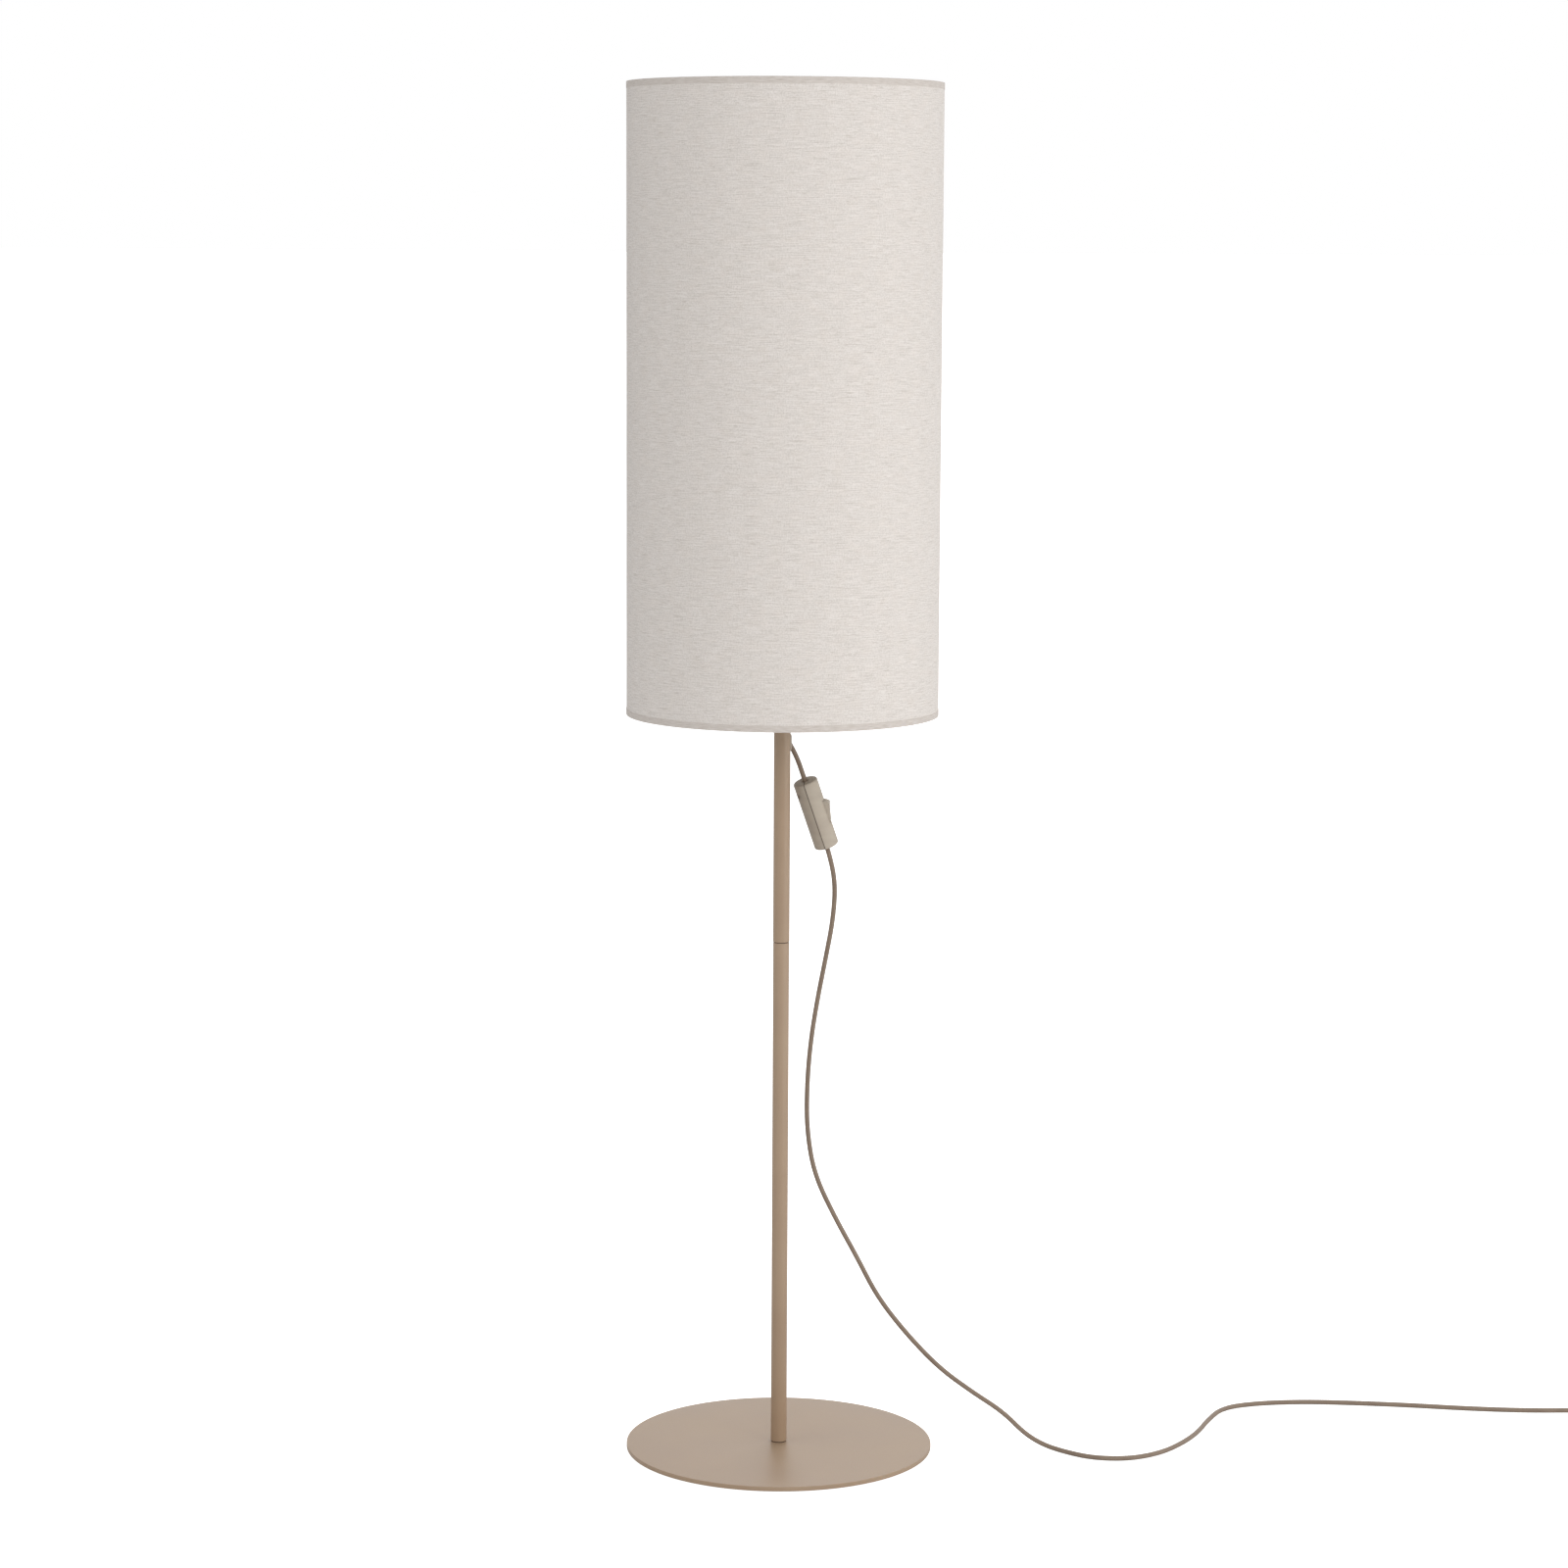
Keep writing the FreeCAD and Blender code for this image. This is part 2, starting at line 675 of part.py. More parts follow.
def lampholder_cap():
    neck = "holder_neck / 2"
    rim = "holder_diameter / 2"
    neck_top = f"({HOLDER_BOTTOM} + holder_neck_height)"
    shoulder = f"({neck_top} + holder_shoulder_height)"
    turned("lampholder_cap", [
        (THREAD_HOLE, HOLDER_BOTTOM), (neck, HOLDER_BOTTOM), (neck, neck_top),
        (rim, shoulder), (rim, CAP_TOP), (HOLDER_BORE, CAP_TOP),
        (HOLDER_BORE, f"{shoulder} + holder_wall"),
        (neck, f"{neck_top} + holder_wall"), (THREAD_HOLE, f"{neck_top} + holder_wall")])


def lampholder_skirt():
    """The upper half of the housing, with the shoulder that the shade's hub rests on."""
    shoulder = "shade_shoulder_diameter / 2"
    shoulder_bottom = f"({CAP_TOP} + shade_shoulder_height)"
    turned("lampholder_skirt", [
        (SKIRT_BORE, CAP_TOP), (SKIRT_RADIUS, CAP_TOP), (SKIRT_RADIUS, shoulder_bottom),
        (shoulder, shoulder_bottom), (shoulder, SHOULDER_TOP), (SKIRT_RADIUS, SHOULDER_TOP),
        (SKIRT_RADIUS, SKIRT_TOP), (SKIRT_BORE, SKIRT_TOP)])


def lampholder_inside():
    """The ceramic block, the screw shell round the bulb's cap and the sprung tongue."""
    insulator = turned("lampholder_insulator", ring_outline(
        "insulator_bore / 2", f"{SKIRT_BORE} - part_clearance", CAP_TOP, INSULATOR_TOP))
    for side in ("", "-"):
        round_block(insulator, "terminal_screw / 2 + part_clearance", "XY_Plane",
                    "terminal_screw_length", centre=(f"{side}terminal_pitch / 2", "0"),
                    offset=("0", "0", CAP_TOP), cut=True, reverse=True)
    turned("lampholder_screw_shell", ring_outline(
        SHELL_BORE, f"{SHELL_BORE} + shell_wall", INSULATOR_TOP,
        f"{INSULATOR_TOP} + shell_height"))
    tongue = new_body("lampholder_centre_contact")
    near = "-tongue_length / 2"
    far = "(bulb_contact_diameter / 2)"
    outline_block(tongue, [
        (near, INSULATOR_TOP), (f"{near} + tongue_width", INSULATOR_TOP),
        (far, f"{TONGUE_TOP} - tongue_thickness"), (far, TONGUE_TOP),
        ("0", TONGUE_TOP), (f"{near} + tongue_width / 2", f"{INSULATOR_TOP} + tongue_thickness"),
        (near, f"{INSULATOR_TOP} + tongue_thickness")],
        "XZ_Plane", "tongue_width", midplane=True)


def terminal_screws():
    """Two terminal screws, seated in the underside of the ceramic block."""
    screws = []
    for number, side in enumerate(("", "-"), 1):
        screw = doc.addObject("Part::Cylinder", f"terminal_screw_{number}")
        bind(screw, "Radius", "terminal_screw / 2")
        bind(screw, "Height", "terminal_screw_length")
        bind(screw, "Placement.Base.x", f"{side}terminal_pitch / 2")
        bind(screw, "Placement.Base.z", CAP_TOP)
        screws.append(screw)
    group = doc.addObject("Part::Compound", "lampholder_terminal_screws")
    group.Label = "lampholder_terminal_screws"
    group.Links = screws
    nodes.append(group)


def shade_clamp_ring():
    turned("shade_clamp_ring", ring_outline(
        f"{SKIRT_RADIUS} + part_clearance", "clamp_ring_diameter / 2",
        HUB_TOP, f"{HUB_TOP} + clamp_ring_height"))


# ---------------------------------------------------------------- bulb

def bulb():
    """A pear-shaped bulb: a ball that runs tangent into a cone and a straight neck."""
    centre = f"({BULB_TOP} - bulb_diameter / 2)"
    slope = "bulb_shoulder_angle"
    outer = pear_side("bulb_diameter / 2", "bulb_neck / 2", centre, slope)
    inner = pear_side("(bulb_diameter / 2 - bulb_wall)", "(bulb_neck / 2 - bulb_wall)",
                      centre, slope)
    seat = f"{BULB_CAP_TOP} + part_clearance"
    turned("bulb_glass", [
        ("bulb_neck / 2 - bulb_wall", seat), ("bulb_neck / 2", seat), outer[0], outer[1],
        Curve("bulb_diameter / 2", -1), ("bulb_diameter / 2", centre),
        Curve("bulb_diameter / 2", -1), ("0", BULB_TOP), ("0", f"{BULB_TOP} - bulb_wall"),
        Curve("bulb_diameter / 2 - bulb_wall", 1), ("bulb_diameter / 2 - bulb_wall", centre),
        Curve("bulb_diameter / 2 - bulb_wall", 1), inner[1], inner[0]])
    cap = "bulb_cap_diameter / 2"
    turned("bulb_cap", [
        (f"{cap} - bulb_cap_wall", BULB_CAP_BOTTOM), (cap, BULB_CAP_BOTTOM), (cap, BULB_CAP_TOP),
        (f"{cap} - bulb_cap_wall", BULB_CAP_TOP)])
    contact_top = f"({BULB_BOTTOM} + bulb_contact_height)"
    turned("bulb_insulator", [
        ("0", contact_top), ("bulb_insulator_foot / 2", contact_top),
        (f"{cap} - bulb_cap_wall - glue_gap", BULB_CAP_BOTTOM),
        (f"{cap} - bulb_cap_wall - glue_gap", f"{BULB_CAP_BOTTOM} + bulb_insulator_height"),
        ("0", f"{BULB_CAP_BOTTOM} + bulb_insulator_height")])
    turned("bulb_contact", [
        ("0", BULB_BOTTOM), ("bulb_contact_diameter / 2 - bulb_contact_height / 2", BULB_BOTTOM),
        ("bulb_contact_diameter / 2", f"{BULB_BOTTOM} + bulb_contact_height / 2"),
        ("bulb_contact_diameter / 2", contact_top), ("0", contact_top)])


def pear_side(ball, neck, centre, slope):
    """Where the straight neck ends and where the cone meets the ball."""
    touch_across = f"{ball} * cos({slope})"
    touch_height = f"{centre} - {ball} * sin({slope})"
    neck_top = f"{touch_height} - ({touch_across} - {neck}) * cos({slope}) / sin({slope})"
    return (neck, neck_top), (touch_across, touch_height)


# ---------------------------------------------------------------- shade

def shade_skins():
    """The linen skin, lapped over itself in an upright seam at the back, and its stiff liner."""
    outside = "shade_diameter / 2"
    low = f"{SHADE_BOTTOM} + trim_thickness + glue_gap"
    high = f"{SHADE_TOP} - trim_thickness - glue_gap"
    fabric = turned("shade_fabric", ring_outline(FABRIC_INSIDE, outside, low, high))
    seam = ring_outline(f"{FABRIC_INSIDE} + fabric_thickness / 2", f"{outside} + seam_thickness",
                        f"{SHADE_BOTTOM} + trim_height + glue_gap",
                        f"{SHADE_TOP} - trim_height - glue_gap")
    turn_solid(fabric, seam, angle=f"seam_width / ({outside}) * 180 / pi")
    fabric.Placement = FreeCAD.Placement(Vector(), FreeCAD.Rotation(UP, 90))
    turned("shade_liner", ring_outline(LINER_INSIDE, LINER_OUTSIDE, low, high))


def shade_trims():
    """Hem tapes folded round the bottom and the top rim."""
    fabric_face = "shade_diameter / 2 + glue_gap"
    liner_face = f"{LINER_INSIDE} - glue_gap"
    for label, rim, way in (("shade_bottom_trim", SHADE_BOTTOM, "+"),
                            ("shade_top_trim", SHADE_TOP, "-")):
        turned(label, [
            (TRIM_INSIDE, rim), (TRIM_OUTSIDE, rim), (TRIM_OUTSIDE, f"{rim} {way} trim_height"),
            (fabric_face, f"{rim} {way} trim_height"), (fabric_face, f"{rim} {way} trim_thickness"),
            (liner_face, f"{rim} {way} trim_thickness"),
            (liner_face, f"{rim} {way} trim_inner_height"),
            (TRIM_INSIDE, f"{rim} {way} trim_inner_height")])


def wire_ring(body, height):
    sketch = empty_sketch(body, feature_name(body, "wire"), "XZ_Plane")
    draw_circle(sketch, "ring_wire / 2", (RING_RADIUS, height))
    feature = body.newObject("PartDesign::Revolution", feature_name(body, "ring"))
    feature.Profile = sketch
    feature.ReferenceAxis = (sketch, ["V_Axis"])
    feature.Angle = 360
    sketch.Visibility = False


def shade_top_ring():
    wire_ring(new_body("shade_top_ring"), f"{SHADE_TOP} - {RING_INSET}")


def shade_frame():
    """The hub ring, three bent arms and the bottom ring, welded into one frame."""
    body = new_body("shade_frame")
    hub_inside = f"{SKIRT_RADIUS} + part_clearance"
    hub_outside = "clamp_ring_diameter / 2 + hub_width"
    turn_solid(body, ring_outline(hub_inside, hub_outside, SHOULDER_TOP, HUB_TOP))
    arm_start = "(clamp_ring_diameter / 2 + arm_gap)"
    arm_height = f"({SHOULDER_TOP} + hub_height / 2)"
    ring_height = f"({SHADE_BOTTOM} + {RING_INSET})"
    arm = arm_feature(body, arm_start, arm_height, ring_height)
    doc.recompute()
    pattern = body.newObject("PartDesign::PolarPattern", "shade_frame_arms")
    pattern.Originals = [arm]
    pattern.Axis = (origin_plane(body, "Z_Axis"), [""])
    pattern.Angle = 360
    pattern.Occurrences = ARM_COUNT
    body.Tip = pattern
    doc.recompute()
    wire_ring(body, ring_height)
    body.Placement = FreeCAD.Placement(Vector(), FreeCAD.Rotation(UP, 90))


def arm_feature(body, start, height, ring_height):
    """A wire that runs level out of the hub, bends and slopes down to the bottom ring."""
    run = f"({RING_RADIUS} - {start} - arm_flat)"
    drop = f"({height} - {ring_height})"
    reach = f"sqrt({run} ^ 2 + {drop} ^ 2)"
    setback = f"(arm_bend * tan(0.5 * atan({drop} / {run})))"
    corner = f"({start} + arm_flat)"
    spine = empty_sketch(body, "arm_route", "XZ_Plane")
    places = [
        (start, height), (f"{corner} - {setback}", height),
        (f"{corner} + {setback} * {run} / {reach}", f"{height} - {setback} * {drop} / {reach}"),
        (RING_RADIUS, ring_height)]
    points = [Vector(value(across), value(along), 0) for across, along in places]
    spine.addGeometry(Part.LineSegment(points[0], points[1]), False)
    side_of_outline(spine, points[1], points[2], Curve("arm_bend", 1))
    spine.addGeometry(Part.LineSegment(points[2], points[3]), False)
    spine.addConstraint(Sketcher.Constraint("Coincident", 0, 2, 1, 2))
    spine.addConstraint(Sketcher.Constraint("Coincident", 1, 1, 2, 1))
    for edge, end, place in ((0, 1, places[0]), (0, 2, places[1]), (2, 1, places[2]),
                             (2, 2, places[3])):
        pin_point(spine, edge, end, place)
    rule = Sketcher.Constraint("Radius", 1, value("arm_bend"))
    bind(spine, f"Constraints[{spine.addConstraint(rule)}]", "arm_bend")
    section = empty_sketch(body, "arm_section", "YZ_Plane", offset=("0", "0", start))
    draw_circle(section, "arm_wire / 2", ("0", height))
    pipe = body.newObject("PartDesign::AdditivePipe", "shade_frame_arm")
    pipe.Profile = section
    pipe.Spine = spine
    spine.Visibility = False
    section.Visibility = False
    return pipe


# ---------------------------------------------------------------- inline switch

def switch_frame():
    """Where the switch hangs: its own +Z runs up its axis, and its rocker faces its own +X."""
    lean_axis = Vector(math.sin(math.radians(value("switch_azimuth"))),
                       -math.cos(math.radians(value("switch_azimuth"))), 0)
    turn = FreeCAD.Rotation(lean_axis, value("switch_lean"))
    turn = turn.multiply(FreeCAD.Rotation(UP, value("switch_spin")))
    top = Vector(value("switch_top_x"), value("switch_top_y"), value(f"{OUTLET} - switch_top_z"))
    middle = top - turn.multVec(UP) * value(SWITCH_HALF)
    return FreeCAD.Placement(middle, turn)


def hang_on_switch(body, tilt=0.0):
    """Places a piece of the switch; tilt turns it about the rocker's pivot."""
    pivot = Vector(value("rocker_pivot"), 0, 0)
    rocking = FreeCAD.Placement(Vector(), FreeCAD.Rotation(Vector(0, 1, 0), tilt), pivot)
    body.Placement = switch_frame().multiply(rocking)


def shell_outline():
    """Half the section of the switch's barrel, with rounded ends and a hole in each."""
    hole = "switch_hole / 2"
    wall = "switch_diameter / 2"
    end = f"{SWITCH_HALF}"
    return [
        (hole, f"-{end}"), (f"{wall} - switch_round", f"-{end}"), Curve("switch_round", -1),
        (wall, f"-{end} + switch_round"), (wall, f"{end} - switch_round"),
        Curve("switch_round", -1), (f"{wall} - switch_round", end), (hole, end),
        (hole, CAVITY_HALF), (CAVITY_RADIUS, CAVITY_HALF), (CAVITY_RADIUS, f"-{CAVITY_HALF}"),
        (hole, f"-{CAVITY_HALF}")]


def half_shell(label):
    """One half of the barrel, with two ribs that grip the cord. It faces its own +X."""
    body = new_body(label)
    turn_solid(body, shell_outline(), angle="180")
    length = value(CAVITY_HALF)
    dress_edges(body, "Chamfer", lambda edge: is_seam(edge, length), "seam_edge")
    for side in ("", "-"):
        near = f"{side}({CAVITY_HALF} - grip_inset)"
        far = f"{side}({CAVITY_HALF} - grip_inset - grip_width)"
        grip = "cord_diameter / 2 + grip_gap"
        outside = f"{CAVITY_RADIUS} + switch_wall / 2"
        turn_solid(body, [(grip, near), (outside, near), (outside, far), (grip, far)], angle="180")
    return body


def is_seam(edge, length):
    """Whether an edge is one of the long outer ones that make the line between the halves."""
    middle = edge.CenterOfMass
    outside = value("switch_diameter / 2")
    return edge.Length > length and abs(abs(middle.y) - outside) < 1e-3 and abs(middle.z) < 1e-3


def shell_bosses(body, hole_radius, hole_depth):
    """Two posts for the screws, one at each end, on opposite sides of the cord."""
    for side in ("", "-"):
        place = (f"{side}shell_screw_side", f"{side}({SWITCH_HALF} - shell_screw_inset)")
        round_block(body, "shell_boss_diameter / 2", "YZ_Plane",
                    f"sqrt({CAVITY_RADIUS} ^ 2 - shell_screw_side ^ 2)", centre=place)
        round_block(body, hole_radius, "YZ_Plane", hole_depth, centre=place, cut=True,
                    reverse=True)


def switch_front_half():
    """The half with the rocker's slot and the two cheeks that carry its trunnions."""
    body = half_shell("switch_front_half")
    for side in ("", "-"):
        middle = f"{side}(rocker_width / 2 + cheek_gap + cheek_width / 2)"
        corner_low = ("rocker_pivot - cheek_bottom", f"{middle} - cheek_width / 2")
        corner_high = ("rocker_pivot + cheek_top", f"{middle} + cheek_width / 2")
        outline_block(body, [
            corner_low, (corner_high[0], corner_low[1]), corner_high,
            (corner_low[0], corner_high[1])], "XY_Plane", "cheek_length", midplane=True)
    outline_block(body, rectangle("rocker_width + 2 * rocker_gap",
                                  "2 * (rocker_reach + rocker_gap)"),
                  "YZ_Plane", "switch_diameter / 2", offset=("0", "0", "rocker_pivot"),
                  cut=True, reverse=True)
    shell_bosses(body, "shell_screw_diameter / 2 + trunnion_gap",
                 "shell_screw_grip + part_clearance")
    round_block(body, "trunnion_diameter / 2 + trunnion_gap", "XZ_Plane",
                "rocker_width + 2 * (trunnion_length + part_clearance)",
                centre=("rocker_pivot", "0"), cut=True, midplane=True)
    hang_on_switch(body)


def switch_rear_half():
    """The plain half, with sunk seats for the two screws."""
    body = half_shell("switch_rear_half")
    shell_bosses(body, "shell_screw_diameter / 2 + part_clearance", "switch_diameter / 2")
    for side in ("", "-"):
        place = (f"{side}shell_screw_side", f"{side}({SWITCH_HALF} - shell_screw_inset)")
        round_block(body, "shell_screw_head / 2 + part_clearance", "YZ_Plane",
                    "switch_diameter / 2", centre=place, offset=("0", "0", "shell_screw_seat"),
                    cut=True, reverse=True)
    body.Placement = switch_frame().multiply(
        FreeCAD.Placement(Vector(), FreeCAD.Rotation(UP, 180)))


def switch_screws():
    """Two screws whose heads sit in the rear half and whose shanks reach into the front half."""
    screws = []
    for number, side in enumerate((1, -1), 1):
        turn = FreeCAD.Rotation(Vector(0, 1, 0), 90)
        across = side * value("shell_screw_side")
        along = side * value(f"{SWITCH_HALF} - shell_screw_inset")
        shank = doc.addObject("Part::Cylinder", f"switch_screw_shank_{number}")
        bind(shank, "Radius", "shell_screw_diameter / 2")
        bind(shank, "Height", "shell_screw_seat + shell_screw_grip")
        shank.Placement = FreeCAD.Placement(
            Vector(-value("shell_screw_seat"), -across, along), turn)
        head = doc.addObject("Part::Cylinder", f"switch_screw_head_{number}")
        bind(head, "Radius", "shell_screw_head / 2")
        bind(head, "Height", "shell_screw_head_height")
        head.Placement = FreeCAD.Placement(
            Vector(-value("shell_screw_seat + shell_screw_head_height"), -across, along), turn)
        screw = doc.addObject("Part::Fuse", f"switch_screw_{number}")
        screw.Base = head
        screw.Tool = shank
        screws.append(screw)
    group = doc.addObject("Part::Compound", "switch_screws")
    group.Label = "switch_screws"
    group.Links = screws
    hang_on_switch(group)
    nodes.append(group)


def switch_carrier():
    """The insulating block across the rear of the barrel that holds the contacts."""
    body = new_body("switch_carrier")
    radius = f"({CAVITY_RADIUS} - carrier_clearance)"
    edge = f"sqrt({radius} ^ 2 - carrier_top ^ 2)"
    outline_block(body, [
        ("carrier_top", edge), Curve(radius, -1), (f"-{radius}", "0"), Curve(radius, -1),
        ("carrier_top", f"-{edge}")], "XY_Plane", "carrier_length", midplane=True)
    hang_on_switch(body)


def switch_terminals():
    """Two brass strips along the carrier, each with a clamp boss at its outer end."""
    strips = []
    for number, side in enumerate((1, -1), 1):
        inner = value("contact_inset")
        outer = value("carrier_length / 2 - contact_thickness")
        strip = doc.addObject("Part::Box", f"terminal_strip_{number}")
        bind(strip, "Length", "contact_thickness")
        bind(strip, "Width", "contact_width")
        bind(strip, "Height", "carrier_length / 2 - contact_thickness - contact_inset")
        strip.Placement.Base = Vector(value("carrier_top"), -value("contact_width / 2"),
                                      inner if side > 0 else -outer)
        boss = doc.addObject("Part::Cylinder", f"terminal_boss_{number}")
        bind(boss, "Radius", "terminal_boss / 2")
        bind(boss, "Height", "contact_thickness + terminal_boss_height")
        boss.Placement = FreeCAD.Placement(
            Vector(value("carrier_top"), 0, side * value("carrier_length / 2 - terminal_boss_inset")),
            FreeCAD.Rotation(Vector(0, 1, 0), 90))
        terminal = doc.addObject("Part::Fuse", f"terminal_{number}")
        terminal.Base = strip
        terminal.Tool = boss
        strips.append(terminal)
    group = doc.addObject("Part::Compound", "switch_terminals")
    group.Label = "switch_terminals"
    group.Links = strips
    hang_on_switch(group)
    nodes.append(group)


def switch_rocker():
    """A dished bar with round ends about its pivot, a keel below and a trunnion each side."""
    body = new_body("switch_rocker")
    face = "(rocker_pivot + rocker_rise)"
    tip = "sqrt(rocker_reach ^ 2 - rocker_rise ^ 2)"
    wing = "sqrt(rocker_reach ^ 2 - rocker_wing ^ 2)"
    dish = f"(({tip}) ^ 2 / (2 * rocker_dish) + rocker_dish / 2)"
    keel = "rocker_pivot - rocker_keel"
    outline_block(body, [
        (face, f"-({tip})"), Curve(dish, 1), (face, tip), Curve("rocker_reach", -1),
        ("rocker_pivot + rocker_wing", wing), (keel, "rocker_keel_length / 2"),
        (keel, "-rocker_keel_length / 2"), ("rocker_pivot + rocker_wing", f"-({wing})"),
        Curve("rocker_reach", -1)], "XZ_Plane", "rocker_width", midplane=True)
    round_block(body, "trunnion_diameter / 2", "XZ_Plane",
                "rocker_width + 2 * trunnion_length", centre=("rocker_pivot", "0"), midplane=True)
    hang_on_switch(body, value("rocker_tilt"))


def switch_contact_bar():
    """The contact bar under the rocker's keel: it tips onto one fixed contact or the other."""
    bar = doc.addObject("Part::Box", "switch_contact_bar")
    bar.Label = "switch_contact_bar"
    bind(bar, "Length", "contact_bar_thickness")
    bind(bar, "Width", "contact_bar_width")
    bind(bar, "Height", "contact_bar_length")
    hang_on_switch(bar, value("rocker_tilt"))
    corner = Vector(value("rocker_pivot - rocker_keel - contact_bar_thickness"),
                    -value("contact_bar_width / 2"), -value("contact_bar_length / 2"))
    bar.Placement = bar.Placement.multiply(FreeCAD.Placement(corner, FreeCAD.Rotation()))
    nodes.append(bar)


# ---------------------------------------------------------------- cord

def tube_along(label, route):
    """A round tube on straight runs joined by tangent arcs, as large as the runs allow."""
    radius = value("cord_diameter / 2")
    edges = []
    radii = []
    start = route[0]
    for before, corner, after in zip(route, route[1:], route[2:]):
        arriving = (corner - before).normalize()
        leaving = (after - corner).normalize()
        turn = arriving.getAngle(leaving)
        reach = 0.45 * min((corner - before).Length, (after - corner).Length)
        bend = reach / math.tan(turn / 2)
        radii.append(bend)
        first = corner - arriving * reach
        last = corner + leaving * reach
        inward = ((first + last) * 0.5 - corner).normalize()
        middle = corner + inward * (bend / math.cos(turn / 2) - bend)
        edges.append(Part.LineSegment(start, first).toShape())
        edges.append(Part.Arc(first, middle, last).toShape())
        start = last
    edges.append(Part.LineSegment(start, route[-1]).toShape())
    path = Part.Wire(edges)
    section = Part.Wire(Part.makeCircle(radius, route[0], route[1] - route[0]))
    tube = path.makePipeShell([section], True, False)
    expected = math.pi * radius ** 2 * path.Length
    print(f"{label}: length {path.Length:.1f} mm, least radius {min(radii):.1f} mm, "
          f"volume {tube.Volume / expected:.4f} of section times length")
    if abs(tube.Volume / expected - 1) > 0.01:
        raise ValueError(f"{label} doesn't have the volume of its section and length")
    return tube


def outlet_frame():
    """Where the cord's axis leaves the grommet, and its direction there."""
    azimuth = math.radians(value("outlet_azimuth"))
    angle = math.radians(value("outlet_angle"))
    away = Vector(math.cos(azimuth), math.sin(azimuth), 0)
    reach = value("outlet_reach")
    drop = (reach - value("upper_diameter / 2")) / math.tan(angle)
    start = away * reach + UP * (value(OUTLET) - drop)
    return start, away * math.sin(angle) - UP * math.cos(angle)


def switch_end(side, depth):
    """A point on the switch's axis, that deep inside its upper (+1) or lower (-1) end."""
    return switch_frame().multVec(UP * (side * (value(SWITCH_HALF) - depth)))


def inner_lead():
    """The lead from the outlet up through the tube and the nipple to the lampholder."""
    start, direction = outlet_frame()
    offset = value("lead_offset")
    up_the_passage = (value("outlet_reach") - offset) / math.sin(math.radians(value("outlet_angle")))
    corner = start - direction * up_the_passage
    top = Vector(corner.x, corner.y, value(f"{CAP_TOP} - 2 * part_clearance"))
    solid_node("inner_lead", tube_along("inner_lead", [start, corner, top]))


def cord_upper():
    start, direction = outlet_frame()
    enter = switch_end(1, -value("cord_diameter / 2"))
    inside = switch_end(1, value(f"{SWITCH_HALF} - carrier_length / 2"))
    route = [start, start + direction * OUTLET_LEAD_OUT, enter, inside]
    solid_node("cord_upper", tube_along("cord_upper", route))


def cord_lower():
    leave = switch_end(-1, -SWITCH_LEAD_OUT)
    entry, heading = coil_end(0.0)
    entry = entry - heading * value("cord_diameter")
    route = [switch_end(-1, value(f"{SWITCH_HALF} - carrier_length / 2")), leave]
    floor = min(height for _, _, height in LOWER_ROUTE)
    hang = (leave.z - floor) / (LOWER_ROUTE_TOP - floor)
    route += [Vector(across, along, floor + (height - floor) * hang)
              for across, along, height in LOWER_ROUTE]
    route += [entry - heading * COIL_LEAD_IN, entry]
    solid_node("cord_lower", tube_along("cord_lower", route))


def coil_point(turns):
    """A point of the coil's axis after that many turns: in, up a layer, and out again."""
    middle = value("coil_turns") / 2
    radius = value("coil_outer_radius") - value("coil_pitch") * (middle - abs(turns - middle))
    climb = min(max((turns - middle) / 0.5 + 0.5, 0.0), 1.0)
    climb = climb * climb * (3 - 2 * climb)
    angle = math.radians(360 * turns - 90)
    return Vector(value("coil_x") + radius * math.cos(angle),
                  value("coil_y") + radius * math.sin(angle),
                  value("coil_height") + value("coil_pitch") * climb)


def coil_end(turns, step=1e-4):
    """The coil's axis and its direction at one of its ends."""
    total = value("coil_turns")
    before = coil_point(max(turns - step, 0.0))
    after = coil_point(min(turns + step, total))
    return coil_point(turns), (after - before).normalize()


def biarc(start, start_heading, end, end_heading):
    """Two tangent arcs between two points with their headings."""
    across = end - start
    both = start_heading + end_heading
    square = 2 * (1 - start_heading.dot(end_heading))
    slope = 2 * across.dot(both)
    reach = (-slope + math.sqrt(slope ** 2 + 4 * square * across.dot(across))) / (2 * square)
    first = start + start_heading * reach
    last = end - end_heading * reach
    join = (first + last) * 0.5
    return [corner_arc(start, first, join), corner_arc(join, last, end)]


def corner_arc(start, corner, end):
    """The arc that is tangent to both legs of a corner with equal legs."""
    half = (corner - start).getAngle(end - corner) / 2
    bend = (corner - start).Length / math.tan(half)
    inward = ((start + end) * 0.5 - corner).normalize()
    middle = corner + inward * (bend / math.cos(half) - bend)
    return Part.Arc(start, middle, end).toShape()


def least_gap(path, steps_per_turn=180):
    """The least distance between the tube's own turns, measured on points of its axis."""
    count = int(steps_per_turn * value("coil_turns"))
    points = path.discretize(Number=count)
    skip = steps_per_turn // 2
    least = min(points[index].distanceToPoint(point)
                for index in range(count) for point in points[index + skip:])
    return least - value("cord_diameter")


